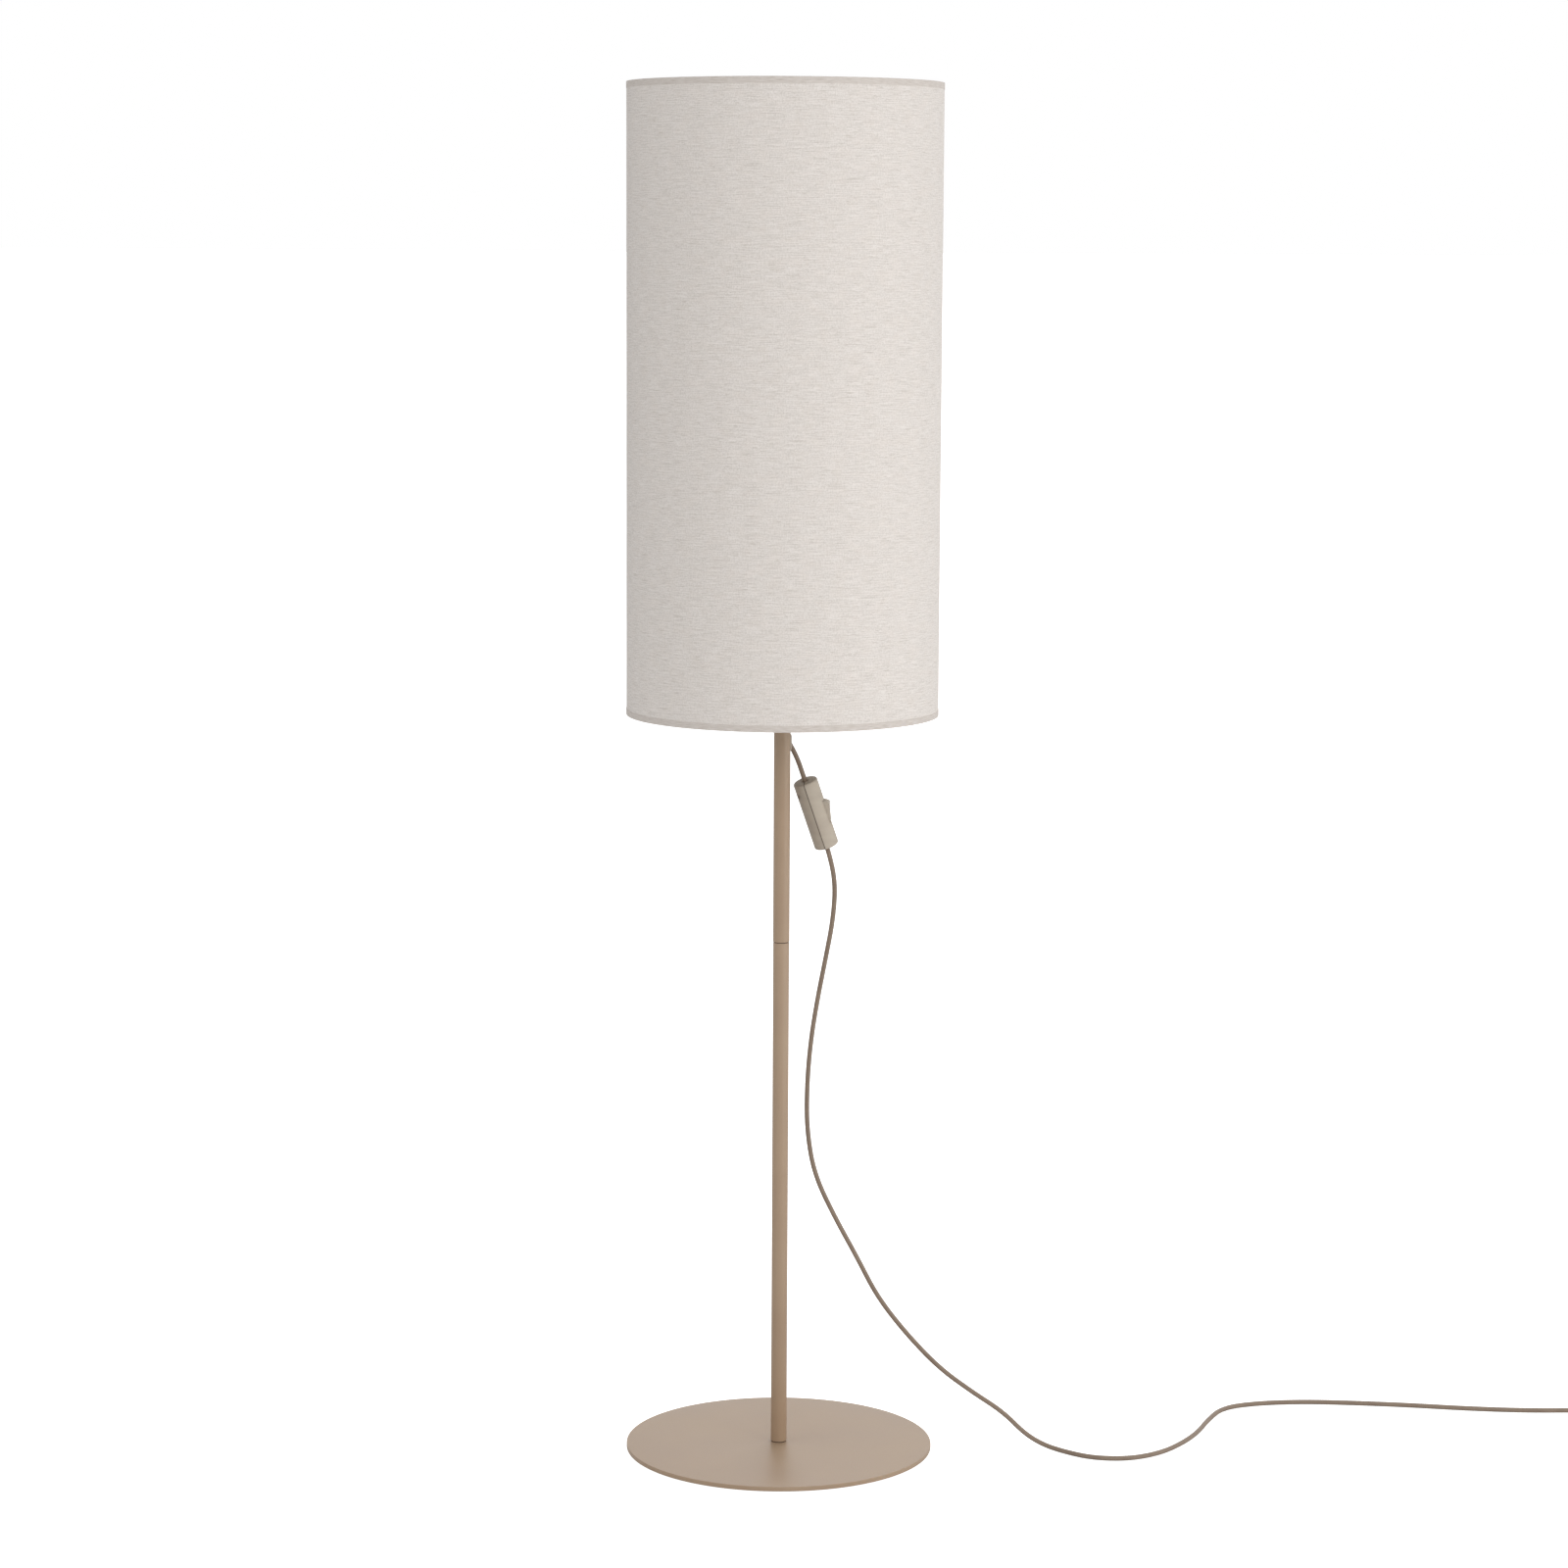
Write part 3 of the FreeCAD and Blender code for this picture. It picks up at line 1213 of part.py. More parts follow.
def cord_coil():
    """The put-away length: a coil in two layers, as one unbroken tube."""
    total = value("coil_turns")
    count = int(round(total * COIL_ARCS_PER_TURN))
    places = [coil_end(total * index / count) for index in range(count + 1)]
    straight = value("cord_diameter")
    start, heading = places[0]
    edges = [Part.LineSegment(start - heading * straight, start).toShape()]
    for (point, direction), (following, new_direction) in zip(places, places[1:]):
        edges += biarc(point, direction, following, new_direction)
    end, end_heading = places[-1]
    edges.append(Part.LineSegment(end, end + end_heading * straight).toShape())
    path = Part.Wire(edges)
    radius = value("cord_diameter / 2")
    section = Part.Wire(Part.makeCircle(radius, start - heading * straight, heading))
    tube = path.makePipeShell([section], True, False)
    gap = least_gap(path)
    print(f"cord_coil: length {path.Length:.1f} mm, least gap to itself {gap:.2f} mm, "
          f"volume {tube.Volume / (math.pi * radius ** 2 * path.Length):.4f} of section times length")
    if gap < 0.4:
        raise ValueError("the coil's turns come too close to each other")
    solid_node("cord_coil", tube)


def coil_tie():
    """A flat strap round the coil's bundle of turns."""
    body = new_body("cord_tie")
    middle = value("coil_turns") / 2
    whole = (value("tie_azimuth") + 90) / 360
    outer_turn = coil_point(whole)
    inner_turn = coil_point(math.floor(middle - whole) + whole)
    centre = Vector(value("coil_x"), value("coil_y"), 0)
    near = Vector(inner_turn.x, inner_turn.y, 0).distanceToPoint(centre)
    far = Vector(outer_turn.x, outer_turn.y, 0).distanceToPoint(centre)
    margin = "cord_diameter / 2 + tie_clearance"
    low = "coil_height"
    high = "coil_height + coil_pitch"
    inner = [
        (f"{near} - ({margin})", f"{low} - cord_diameter / 2 - tie_clearance"),
        (f"{far} + {margin}", f"{low} - cord_diameter / 2 - tie_clearance"),
        (f"{far} + {margin}", f"{high} + {margin}"), (f"{near} - ({margin})", f"{high} + {margin}")]
    outer = [
        (f"{inner[0][0]} - tie_thickness", f"{inner[0][1]} - tie_thickness"),
        (f"{inner[1][0]} + tie_thickness", f"{inner[1][1]} - tie_thickness"),
        (f"{inner[2][0]} + tie_thickness", f"{inner[2][1]} + tie_thickness"),
        (f"{inner[3][0]} - tie_thickness", f"{inner[3][1]} + tie_thickness")]
    outline_block(body, outer, "XZ_Plane", "tie_width", midplane=True)
    outline_block(body, inner, "XZ_Plane", "2 * tie_width", midplane=True, cut=True)
    body.Placement = FreeCAD.Placement(centre, FreeCAD.Rotation(UP, value("tie_azimuth")))


def tail_route():
    end, heading = coil_end(value("coil_turns"))
    start = end + heading * value("cord_diameter")
    plug = Vector(PLUG_START[0], PLUG_START[1], value("plug_thickness / 2"))
    return ([start, start + heading * TAIL_LEAD_OUT] + [Vector(*point) for point in TAIL_ROUTE]
            + [plug])


def cord_tail():
    solid_node("cord_tail", tube_along("cord_tail", tail_route()))


# ---------------------------------------------------------------- plug

def lay_plug(part):
    """Lays a piece of the plug down: its own +Y runs from the cord to the pins."""
    part.Placement = FreeCAD.Placement(tail_route()[-1], FreeCAD.Rotation())


def plug_body():
    """A flat two-pin plug with a tapered, grooved strain relief."""
    body = new_body("plug_body")
    back = "tail_length"
    shoulder = "(tail_length + plug_shoulder)"
    face = "(tail_length + plug_length)"
    flank = f"({face} - plug_face_length)"
    outline_block(body, [
        ("plug_neck / 2", back), ("plug_width / 2", shoulder), ("plug_width / 2", flank),
        ("plug_face / 2", face), ("-plug_face / 2", face), ("-plug_width / 2", flank),
        ("-plug_width / 2", shoulder), ("-plug_neck / 2", back)],
        "XY_Plane", "plug_thickness", midplane=True)
    dress_edges(body, "Fillet", lambda edge: abs(edge.CenterOfMass.z) < 1e-4, "plug_corner")
    half = value("plug_thickness / 2")
    dress_edges(body, "Fillet", lambda edge: abs(abs(edge.CenterOfMass.z) - half) < 1e-4,
                "plug_round")
    turn_solid(body, tail_outline(), plane="XY_Plane")
    for side in ("", "-"):
        round_block(body, "pin_core / 2 + pin_gap", "XZ_Plane", "pin_inside",
                    centre=(f"{side}pin_pitch / 2", "0"), offset=("0", "0", f"-{face}"),
                    cut=True, reverse=True)
    lay_plug(body)


def tail_outline():
    """The strain relief's half section: a taper cut by evenly spaced grooves."""
    slope = "((tail_end - tail_start) / 2 / tail_length)"
    outline = [("0", "0"), ("tail_start / 2", "0")]
    for number in range(1, TAIL_GROOVES + 1):
        near = f"(tail_groove_pitch * {number})"
        far = f"({near} + tail_groove_width)"
        for place, depth in ((near, ""), (near, " - tail_groove_depth"),
                             (far, " - tail_groove_depth"), (far, "")):
            outline.append((f"tail_start / 2 + {place} * {slope}{depth}", place))
    return outline + [("tail_end / 2", "tail_length + plug_round"), ("0", "tail_length + plug_round")]


def pin_pieces(label, pieces):
    """A pair of turned pieces, one on each side of the plug's middle."""
    face = value("tail_length + plug_length")
    solids = []
    for number, side in enumerate((-1, 1), 1):
        place = Vector(side * value("pin_pitch / 2"), face, 0)
        solids.append(pieces(f"{label}_{number}", FreeCAD.Placement(
            place, FreeCAD.Rotation(Vector(1, 0, 0), -90))))
    group = doc.addObject("Part::Compound", label)
    group.Label = label
    group.Links = solids
    lay_plug(group)
    nodes.append(group)


def pin_piece(name, placement):
    core = doc.addObject("Part::Cylinder", f"{name}_core")
    bind(core, "Radius", "pin_core / 2")
    bind(core, "Height", "pin_inside - pin_gap + sleeve_length")
    core.Placement.Base = Vector(0, 0, -value("pin_inside - pin_gap"))
    tip = doc.addObject("Part::Cylinder", f"{name}_tip")
    bind(tip, "Radius", "pin_diameter / 2")
    bind(tip, "Height", "pin_length - sleeve_length - pin_diameter / 4")
    tip.Placement.Base = Vector(0, 0, value("sleeve_length"))
    nose = doc.addObject("Part::Cone", f"{name}_nose")
    bind(nose, "Radius1", "pin_diameter / 2")
    bind(nose, "Radius2", "pin_diameter / 4")
    bind(nose, "Height", "pin_diameter / 4")
    nose.Placement.Base = Vector(0, 0, value("pin_length - pin_diameter / 4"))
    pin = doc.addObject("Part::MultiFuse", name)
    pin.Shapes = [core, tip, nose]
    pin.Placement = placement
    return pin


def sleeve_piece(name, placement):
    outside = doc.addObject("Part::Cylinder", f"{name}_outside")
    bind(outside, "Radius", "sleeve_diameter / 2")
    bind(outside, "Height", "sleeve_length")
    bore = doc.addObject("Part::Cylinder", f"{name}_bore")
    bind(bore, "Radius", "pin_core / 2 + pin_gap")
    bind(bore, "Height", "sleeve_length")
    sleeve = doc.addObject("Part::Cut", name)
    sleeve.Base = outside
    sleeve.Tool = bore
    sleeve.Placement = placement
    return sleeve


# ---------------------------------------------------------------- the whole lamp

def build():
    base_plate()
    base_pads()
    base_screw()
    foot_washer()
    lower_pole()
    upper_pole()
    pole_bushes()
    pole_joint()
    cord_grommet()
    holder_fixing()
    lampholder_cap()
    lampholder_skirt()
    lampholder_inside()
    terminal_screws()
    shade_clamp_ring()
    bulb()
    shade_skins()
    shade_trims()
    shade_top_ring()
    shade_frame()
    switch_front_half()
    switch_rear_half()
    switch_screws()
    switch_carrier()
    switch_terminals()
    switch_rocker()
    switch_contact_bar()
    inner_lead()
    cord_upper()
    cord_lower()
    cord_coil()
    coil_tie()
    cord_tail()
    plug_body()
    pin_pieces("plug_pins", pin_piece)
    pin_pieces("plug_pin_sleeves", sleeve_piece)
    doc.recompute()


def check_and_export():
    failed = [item.Name for item in doc.Objects
              if any(word in item.State for word in ("Invalid", "Error"))]
    if failed:
        raise RuntimeError(f"objects that failed: {failed}")
    os.makedirs("parts", exist_ok=True)
    for node in nodes:
        if node.Shape.isNull() or not node.Shape.isValid():
            raise RuntimeError(f"{node.Label} has no valid shape")
    for node in nodes:
        node.Shape.exportStep(f"parts/{node.Label}.step")
    print(f"{len(nodes)} nodes written")


build()
check_and_export()
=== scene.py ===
"""Looks of the column floor lamp: camera, cords, dressed pieces, materials, light."""
import json
import math
import bmesh
import bpy
from mathutils import Matrix, Vector, noise

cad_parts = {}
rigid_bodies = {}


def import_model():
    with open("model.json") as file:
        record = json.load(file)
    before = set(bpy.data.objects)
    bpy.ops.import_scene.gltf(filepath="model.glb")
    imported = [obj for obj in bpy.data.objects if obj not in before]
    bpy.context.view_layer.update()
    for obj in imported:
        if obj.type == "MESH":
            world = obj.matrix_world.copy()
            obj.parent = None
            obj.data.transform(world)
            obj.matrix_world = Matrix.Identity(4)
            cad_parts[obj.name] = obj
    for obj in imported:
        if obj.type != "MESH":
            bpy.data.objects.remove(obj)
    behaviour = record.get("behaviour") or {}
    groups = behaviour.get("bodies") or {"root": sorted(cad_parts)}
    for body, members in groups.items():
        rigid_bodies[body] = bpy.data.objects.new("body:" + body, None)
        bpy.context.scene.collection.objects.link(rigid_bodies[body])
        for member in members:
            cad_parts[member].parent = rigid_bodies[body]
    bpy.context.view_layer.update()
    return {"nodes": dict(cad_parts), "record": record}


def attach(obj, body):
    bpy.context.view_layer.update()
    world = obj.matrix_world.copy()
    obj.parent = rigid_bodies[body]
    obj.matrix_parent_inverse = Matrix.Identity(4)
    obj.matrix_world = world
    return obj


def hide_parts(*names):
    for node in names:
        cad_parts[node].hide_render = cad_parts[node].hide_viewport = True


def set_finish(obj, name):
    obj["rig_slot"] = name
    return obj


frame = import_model()
nodes = frame["nodes"]
scene = bpy.context.scene
MM = 0.001

# ---------------------------------------------------------------- camera

FOCAL_PIXELS = 4104.0
IMAGE_PIXELS = 1600.0
SENSOR_WIDTH = 36.0
CAMERA_PLACE = Vector((0.0, -3.85, 1.18))
CAMERA_YAW = 0.000504
CAMERA_PITCH = 0.1343
CAMERA_ROLL = 0.0052


def make_camera():
    data = bpy.data.cameras.new("camera")
    data.sensor_fit = "HORIZONTAL"
    data.sensor_width = SENSOR_WIDTH
    data.lens = SENSOR_WIDTH * FOCAL_PIXELS / IMAGE_PIXELS
    data.clip_start = 0.1
    data.clip_end = 1000.0
    ahead = Vector((math.sin(CAMERA_YAW) * math.cos(CAMERA_PITCH),
                    math.cos(CAMERA_YAW) * math.cos(CAMERA_PITCH),
                    -math.sin(CAMERA_PITCH)))
    right = Vector((math.cos(CAMERA_YAW), -math.sin(CAMERA_YAW), 0.0))
    up = right.cross(ahead)
    across = right * math.cos(CAMERA_ROLL) + up * math.sin(CAMERA_ROLL)
    along = up * math.cos(CAMERA_ROLL) - right * math.sin(CAMERA_ROLL)
    camera = bpy.data.objects.new("camera", data)
    turn = Matrix((across, along, -ahead)).transposed()
    camera.matrix_world = Matrix.Translation(CAMERA_PLACE) @ turn.to_4x4()
    scene.collection.objects.link(camera)
    scene.camera = camera


make_camera()

# ---------------------------------------------------------------- cords

# Lengths and places are in millimetres from here on.
CORD = 4.8
OUTLET = Vector((8.273, 6.942, 696.146))
OUTLET_WAY = Vector((0.4503, 0.3778, -0.8090))
SWITCH_TOP = Vector((22.3, 13.0, 661.2))
SWITCH_DOWN = Vector((0.30868, 0.20354, -0.92913))
SWITCH_LENGTH = 70.0
SWITCH_BOTTOM = SWITCH_TOP + SWITCH_DOWN * SWITCH_LENGTH
# From the barrel's axis to the rocker: the two shells meet in the plane square to it.
ROCKER_WAY = Vector((0.94460, -0.18021, 0.27434))
# How far the leads go into the switch, and straight on past an outlet.
SWITCH_DEPTH = 16.0
PAST_OUTLET = 12.5
PAST_SWITCH = 6.0
INTO_POLE = 17.0
INNER_LEAD_TOP = (0.61, 0.51, 776.7)

# The mains lead: down from the switch, along the floor, out of the view.
LOWER_ROUTE = [
    (52.8, 32.2, 558.7),
    (50.8, 35.6, 522.0),
    (44.0, 37.4, 484.2),
    (35.6, 36.2, 440.4),
    (29.2, 33.0, 398.6),
    (26.0, 28.4, 355.8),
    (26.2, 23.6, 314.0),
    (33.4, 18.4, 271.1),
    (53.5, 13.6, 229.4),
    (75.9, 10.0, 189.6),
    (95.8, 7.0, 150.9),
    (123.7, 4.6, 115.1),
    (157.6, 2.6, 79.4),
    (191.5, 1.2, 55.0),
    (221.4, 0.2, 35.7),
    (242.4, -0.9, 14.4),
    (261.3, -5.0, 3.9),
    (282.0, -23.3, 2.45),
    (307.6, -42.4, 2.45),
    (343.4, -44.4, 2.45),
    (375.6, -24.3, 2.45),
    (400.1, 8.9, 2.45),
    (418.8, 45.3, 2.45),
    (433.6, 88.8, 2.45),
    (452.5, 130.6, 2.45),
    (490.0, 147.9, 2.45),
    (539.3, 154.0, 2.45),
    (594.4, 149.9, 2.45),
    (648.5, 142.8, 2.45),
    (702.3, 132.6, 2.45),
    (759.3, 126.5, 2.45),
    (813.2, 124.6, 3.4),
]
COIL_CENTRE = (868.0, 160.0)
COIL_RADIUS = 34.0
COIL_PITCH = 5.3
COIL_HEIGHT = 3.5
COIL_TURNS = 4.25
COIL_POINTS_PER_TURN = 16
TAIL_ROUTE = [(903.0, 182.0, 8.4), (903.2, 202.0, 6.85), (903.2, 220.0, 6.85)]


def coil_point(turns):
    """The coil's axis: it spirals in, climbs a layer over half a turn and spirals out."""
    middle = COIL_TURNS / 2
    radius = COIL_RADIUS - COIL_PITCH * (middle - abs(turns - middle))
    climb = min(max((turns - middle) / 0.5 + 0.5, 0.0), 1.0)
    climb = climb * climb * (3 - 2 * climb)
    angle = math.radians(360 * turns - 90)
    return (COIL_CENTRE[0] + radius * math.cos(angle),
            COIL_CENTRE[1] + radius * math.sin(angle),
            COIL_HEIGHT + COIL_PITCH * climb)


def make_cord(name, route):
    """A round lead on a smooth curve that starts and ends at the route's end points."""
    curve = bpy.data.curves.new(name, "CURVE")
    curve.dimensions = "3D"
    spline = curve.splines.new("NURBS")
    spline.points.add(len(route) - 1)
    for point, place in zip(spline.points, route):
        point.co = (*(Vector(place) * MM), 1.0)
        point.radius = CORD / 2 * MM
    spline.order_u = 3
    spline.use_endpoint_u = True
    spline.resolution_u = 8
    curve.bevel_depth = 1.0
    curve.bevel_resolution = 5
    curve.use_fill_caps = True
    cord = bpy.data.objects.new(name, curve)
    scene.collection.objects.link(cord)
    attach(cord, "lamp")
    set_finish(cord, "taupe_cord")
    return cord


upper_lead = make_cord("cord_from_outlet", [
    OUTLET, OUTLET + OUTLET_WAY * PAST_OUTLET,
    SWITCH_TOP - SWITCH_DOWN * CORD / 2, SWITCH_TOP + SWITCH_DOWN * SWITCH_DEPTH])
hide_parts("cord_upper")

mains_lead = make_cord("mains_cord", [
    SWITCH_BOTTOM - SWITCH_DOWN * SWITCH_DEPTH, SWITCH_BOTTOM + SWITCH_DOWN * PAST_SWITCH,
    *LOWER_ROUTE,
    *[coil_point(step / COIL_POINTS_PER_TURN)
      for step in range(int(COIL_TURNS * COIL_POINTS_PER_TURN) + 1)],
    *TAIL_ROUTE])
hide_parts("cord_lower", "cord_coil", "cord_tail")

inner_lead = make_cord("lead_in_pole", [
    OUTLET, OUTLET - OUTLET_WAY * INTO_POLE, INNER_LEAD_TOP])
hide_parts("inner_lead")

# ---------------------------------------------------------------- pieces from mesh code

SHADE_BOTTOM = 728.0
SHADE_TOP = 1328.0
SKIN_RADIUS = 150.0
SKIN_THICKNESS = 0.35
LINER_GAP = 0.05
LINER_THICKNESS = 0.5
# A hem tape stands this far off the skin and the liner, and this thick.
HEM_REACH = 0.4
HEM_THICKNESS = 0.35
HEM_OUTER_LEG = 6.2
HEM_INNER_LEG = 9.0
ROUND_STEPS = 288


def add_piece(name, made, slot, *replaced, sharp=35.0):
    """Turns a bmesh in millimetres into a piece that rides on the lamp."""
    bmesh.ops.scale(made, vec=(MM, MM, MM), verts=made.verts)
    bmesh.ops.recalc_face_normals(made, faces=made.faces)
    mesh = bpy.data.meshes.new(name)
    made.to_mesh(mesh)
    made.free()
    mesh.shade_smooth()
    mesh.set_sharp_from_angle(angle=math.radians(sharp))
    piece = bpy.data.objects.new(name, mesh)
    scene.collection.objects.link(piece)
    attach(piece, "lamp")
    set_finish(piece, slot)
    if replaced:
        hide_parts(*replaced)
    return piece


def sweep_rings(made, rings, closed=True):
    """Joins rings of as many points each; closed joins the last ring to the first."""
    rows = [[made.verts.new(point) for point in ring] for ring in rings]
    count = len(rows[0])
    pairs = list(zip(rows, rows[1:])) + ([(rows[-1], rows[0])] if closed else [])
    for near, far in pairs:
        for index in range(count):
            following = (index + 1) % count
            made.faces.new((near[index], near[following], far[following], far[index]))
    return rows


def lathe(outline, segments, wobble=None):
    """Turns a closed outline of (radius, height) about the upright axis."""
    made = bmesh.new()
    rings = []
    for step in range(segments):
        angle = 2 * math.pi * step / segments
        ring = []
        for radius, height in outline:
            if wobble:
                radius += wobble(angle, radius, height)
            ring.append((radius * math.cos(angle), radius * math.sin(angle), height))
        rings.append(ring)
    sweep_rings(made, rings)
    return made


def rounded(outline, radius, steps=4):
    """Rounds the corners of a closed outline, each with a few points on a smooth curve."""
    points = []
    count = len(outline)
    for index, corner in enumerate(outline):
        here = Vector(corner)
        before = Vector(outline[index - 1]) - here
        after = Vector(outline[(index + 1) % count]) - here
        reach = min(radius, 0.48 * before.length, 0.48 * after.length)
        start = here + before.normalized() * reach
        end = here + after.normalized() * reach
        for step in range(steps + 1):
            share = step / steps
            point = (start * (1 - share) ** 2 + here * 2 * share * (1 - share)
                     + end * share ** 2)
            points.append(tuple(point))
    return points


def cloth_wave(angle, radius, height):
    """How far the glued cloth stands off its round, up to a fifth of a millimetre."""
    if radius < SKIN_RADIUS - 0.1:
        return 0.0
    place = Vector((math.cos(angle) * 2.2, math.sin(angle) * 2.2, height / 90.0))
    return 0.1 + 0.1 * noise.noise(place)


def make_skin():
    low = SHADE_BOTTOM + HEM_REACH
    high = SHADE_TOP - HEM_REACH
    rows = 72
    outer = [(SKIN_RADIUS, low + (high - low) * row / rows) for row in range(rows + 1)]
    inner = [(SKIN_RADIUS - SKIN_THICKNESS, high), (SKIN_RADIUS - SKIN_THICKNESS, low)]
    return add_piece("linen_skin", lathe(outer + inner, ROUND_STEPS, cloth_wave), "linen",
                     "shade_fabric", sharp=50.0)


def make_seam():
    """The lap at the back where the cloth ends, glued down with a turned-in edge."""
    made = bmesh.new()
    half = 7.0
    turned_in = 0.8
    stand_off = 0.22
    thickness = 0.34
    sunk = 0.05
    rows = 60
    steps = 14
    clear_of_hem = 6.25
    low = SHADE_BOTTOM + clear_of_hem
    high = SHADE_TOP - clear_of_hem
    rings = []
    for row in range(rows + 1):
        height = low + (high - low) * row / rows
        ring = []
        for step in range(steps + 1):
            across = -half + 2 * half * step / steps
            across += 0.12 * noise.noise(Vector((height / 25.0, across, 3.0)))
            edge = max(min((half - abs(across)) / turned_in, 1.0), 0.0)
            radius = SKIN_RADIUS + stand_off + thickness * math.sin(edge * math.pi / 2)
            angle = math.pi / 2 + across / SKIN_RADIUS
            ring.append((radius * math.cos(angle), radius * math.sin(angle), height))
        for side in (1.0, -1.0):
            angle = math.pi / 2 + side * half / SKIN_RADIUS
            radius = SKIN_RADIUS - sunk
            ring.append((radius * math.cos(angle), radius * math.sin(angle), height))
        rings.append(ring)
    rows_made = sweep_rings(made, rings, closed=False)
    made.faces.new(rows_made[0])
    made.faces.new(rows_made[-1])
    return add_piece("linen_seam_lap", made, "linen", sharp=60.0)


def make_hem(name, rim, way, node):
    """A hem tape folded round a rim: its outer leg, its round fold and its inner leg."""
    outside = SKIN_RADIUS + HEM_REACH
    inside = SKIN_RADIUS - SKIN_THICKNESS - LINER_GAP - LINER_THICKNESS - HEM_REACH
    outer_end = rim + way * HEM_OUTER_LEG
    inner_end = rim + way * HEM_INNER_LEG
    fold = rim + way * HEM_THICKNESS
    outline = [
        (inside, rim), (outside, rim), (outside, outer_end),
        (outside - HEM_THICKNESS, outer_end), (outside - HEM_THICKNESS, fold),
        (inside + HEM_THICKNESS, fold), (inside + HEM_THICKNESS, inner_end),
        (inside, inner_end)]
    return add_piece(name, lathe(rounded(outline, 0.3), ROUND_STEPS), "hem_tape", node,
                     sharp=60.0)


def make_base():
    """The round foot, with the countersunk hole for its screw from below."""
    rim = 150.0
    low = 1.0
    high = 5.5
    hole = 4.1
    countersink = 7.6
    outline = [(countersink, low), (rim, low), (rim, high), (hole, high), (hole, 4.9),
               (countersink, 1.4)]
    return add_piece("foot_plate", lathe(rounded(outline, 0.6), ROUND_STEPS), "painted_taupe",
                     "base_plate")


def make_lower_tube():
    radius = 7.8
    bore = radius - 1.2
    bottom = 6.3
    top = 504.7
    outline = [(bore, bottom), (radius, bottom), (radius, top), (bore, top)]
    return add_piece("lower_tube", lathe(rounded(outline, 0.3), 96), "painted_taupe",
                     "lower_pole")


def make_tie():
    """A strap round the coil's turns, made at the origin and then set over them."""
    azimuth = math.radians(135.0)
    half_width = 4.0
    thickness = 0.45
    near = 18.5
    far = 39.0
    low = 0.2
    high = 12.2
    made = bmesh.new()
    outline = rounded([(near, low), (far, low), (far, high), (near, high)], 2.4, 6)
    count = len(outline)
    section = ((-half_width, 0.0), (half_width, 0.0), (half_width, -thickness),
               (-half_width, -thickness))
    rings = []
    middle = Vector(((near + far) / 2, (low + high) / 2))
    for index, corner in enumerate(outline):
        here = Vector(corner)
        before = Vector(outline[index - 1])
        after = Vector(outline[(index + 1) % count])
        along = (after - before).normalized()
        normal = Vector((along.y, -along.x))
        if normal.dot(here - middle) < 0:
            normal = -normal
        ring = []
        for across, out in section:
            place = here + normal * out
            ring.append((place.x, across, place.y))
        rings.append(ring)
    sweep_rings(made, rings)
    bmesh.ops.rotate(made, verts=made.verts, cent=(0, 0, 0),
                     matrix=Matrix.Rotation(azimuth, 3, "Z"))
    bmesh.ops.translate(made, verts=made.verts, vec=(*COIL_CENTRE, 0.0))
    return add_piece("coil_strap", made, "tie_strap", "cord_tie")


skin = make_skin()
seam = make_seam()
bottom_hem = make_hem("bottom_hem", SHADE_BOTTOM, 1.0, "shade_bottom_trim")
top_hem = make_hem("top_hem", SHADE_TOP, -1.0, "shade_top_trim")
make_base()
make_lower_tube()
strap = make_tie()

# ---------------------------------------------------------------- materials


def srgb(*levels):
    """A colour in linear light from levels of 0 to 255."""
    linear = []
    for level in levels:
        share = level / 255.0
        linear.append(share / 12.92 if share <= 0.04045 else ((share + 0.055) / 1.055) ** 2.4)
    return (*linear, 1.0)


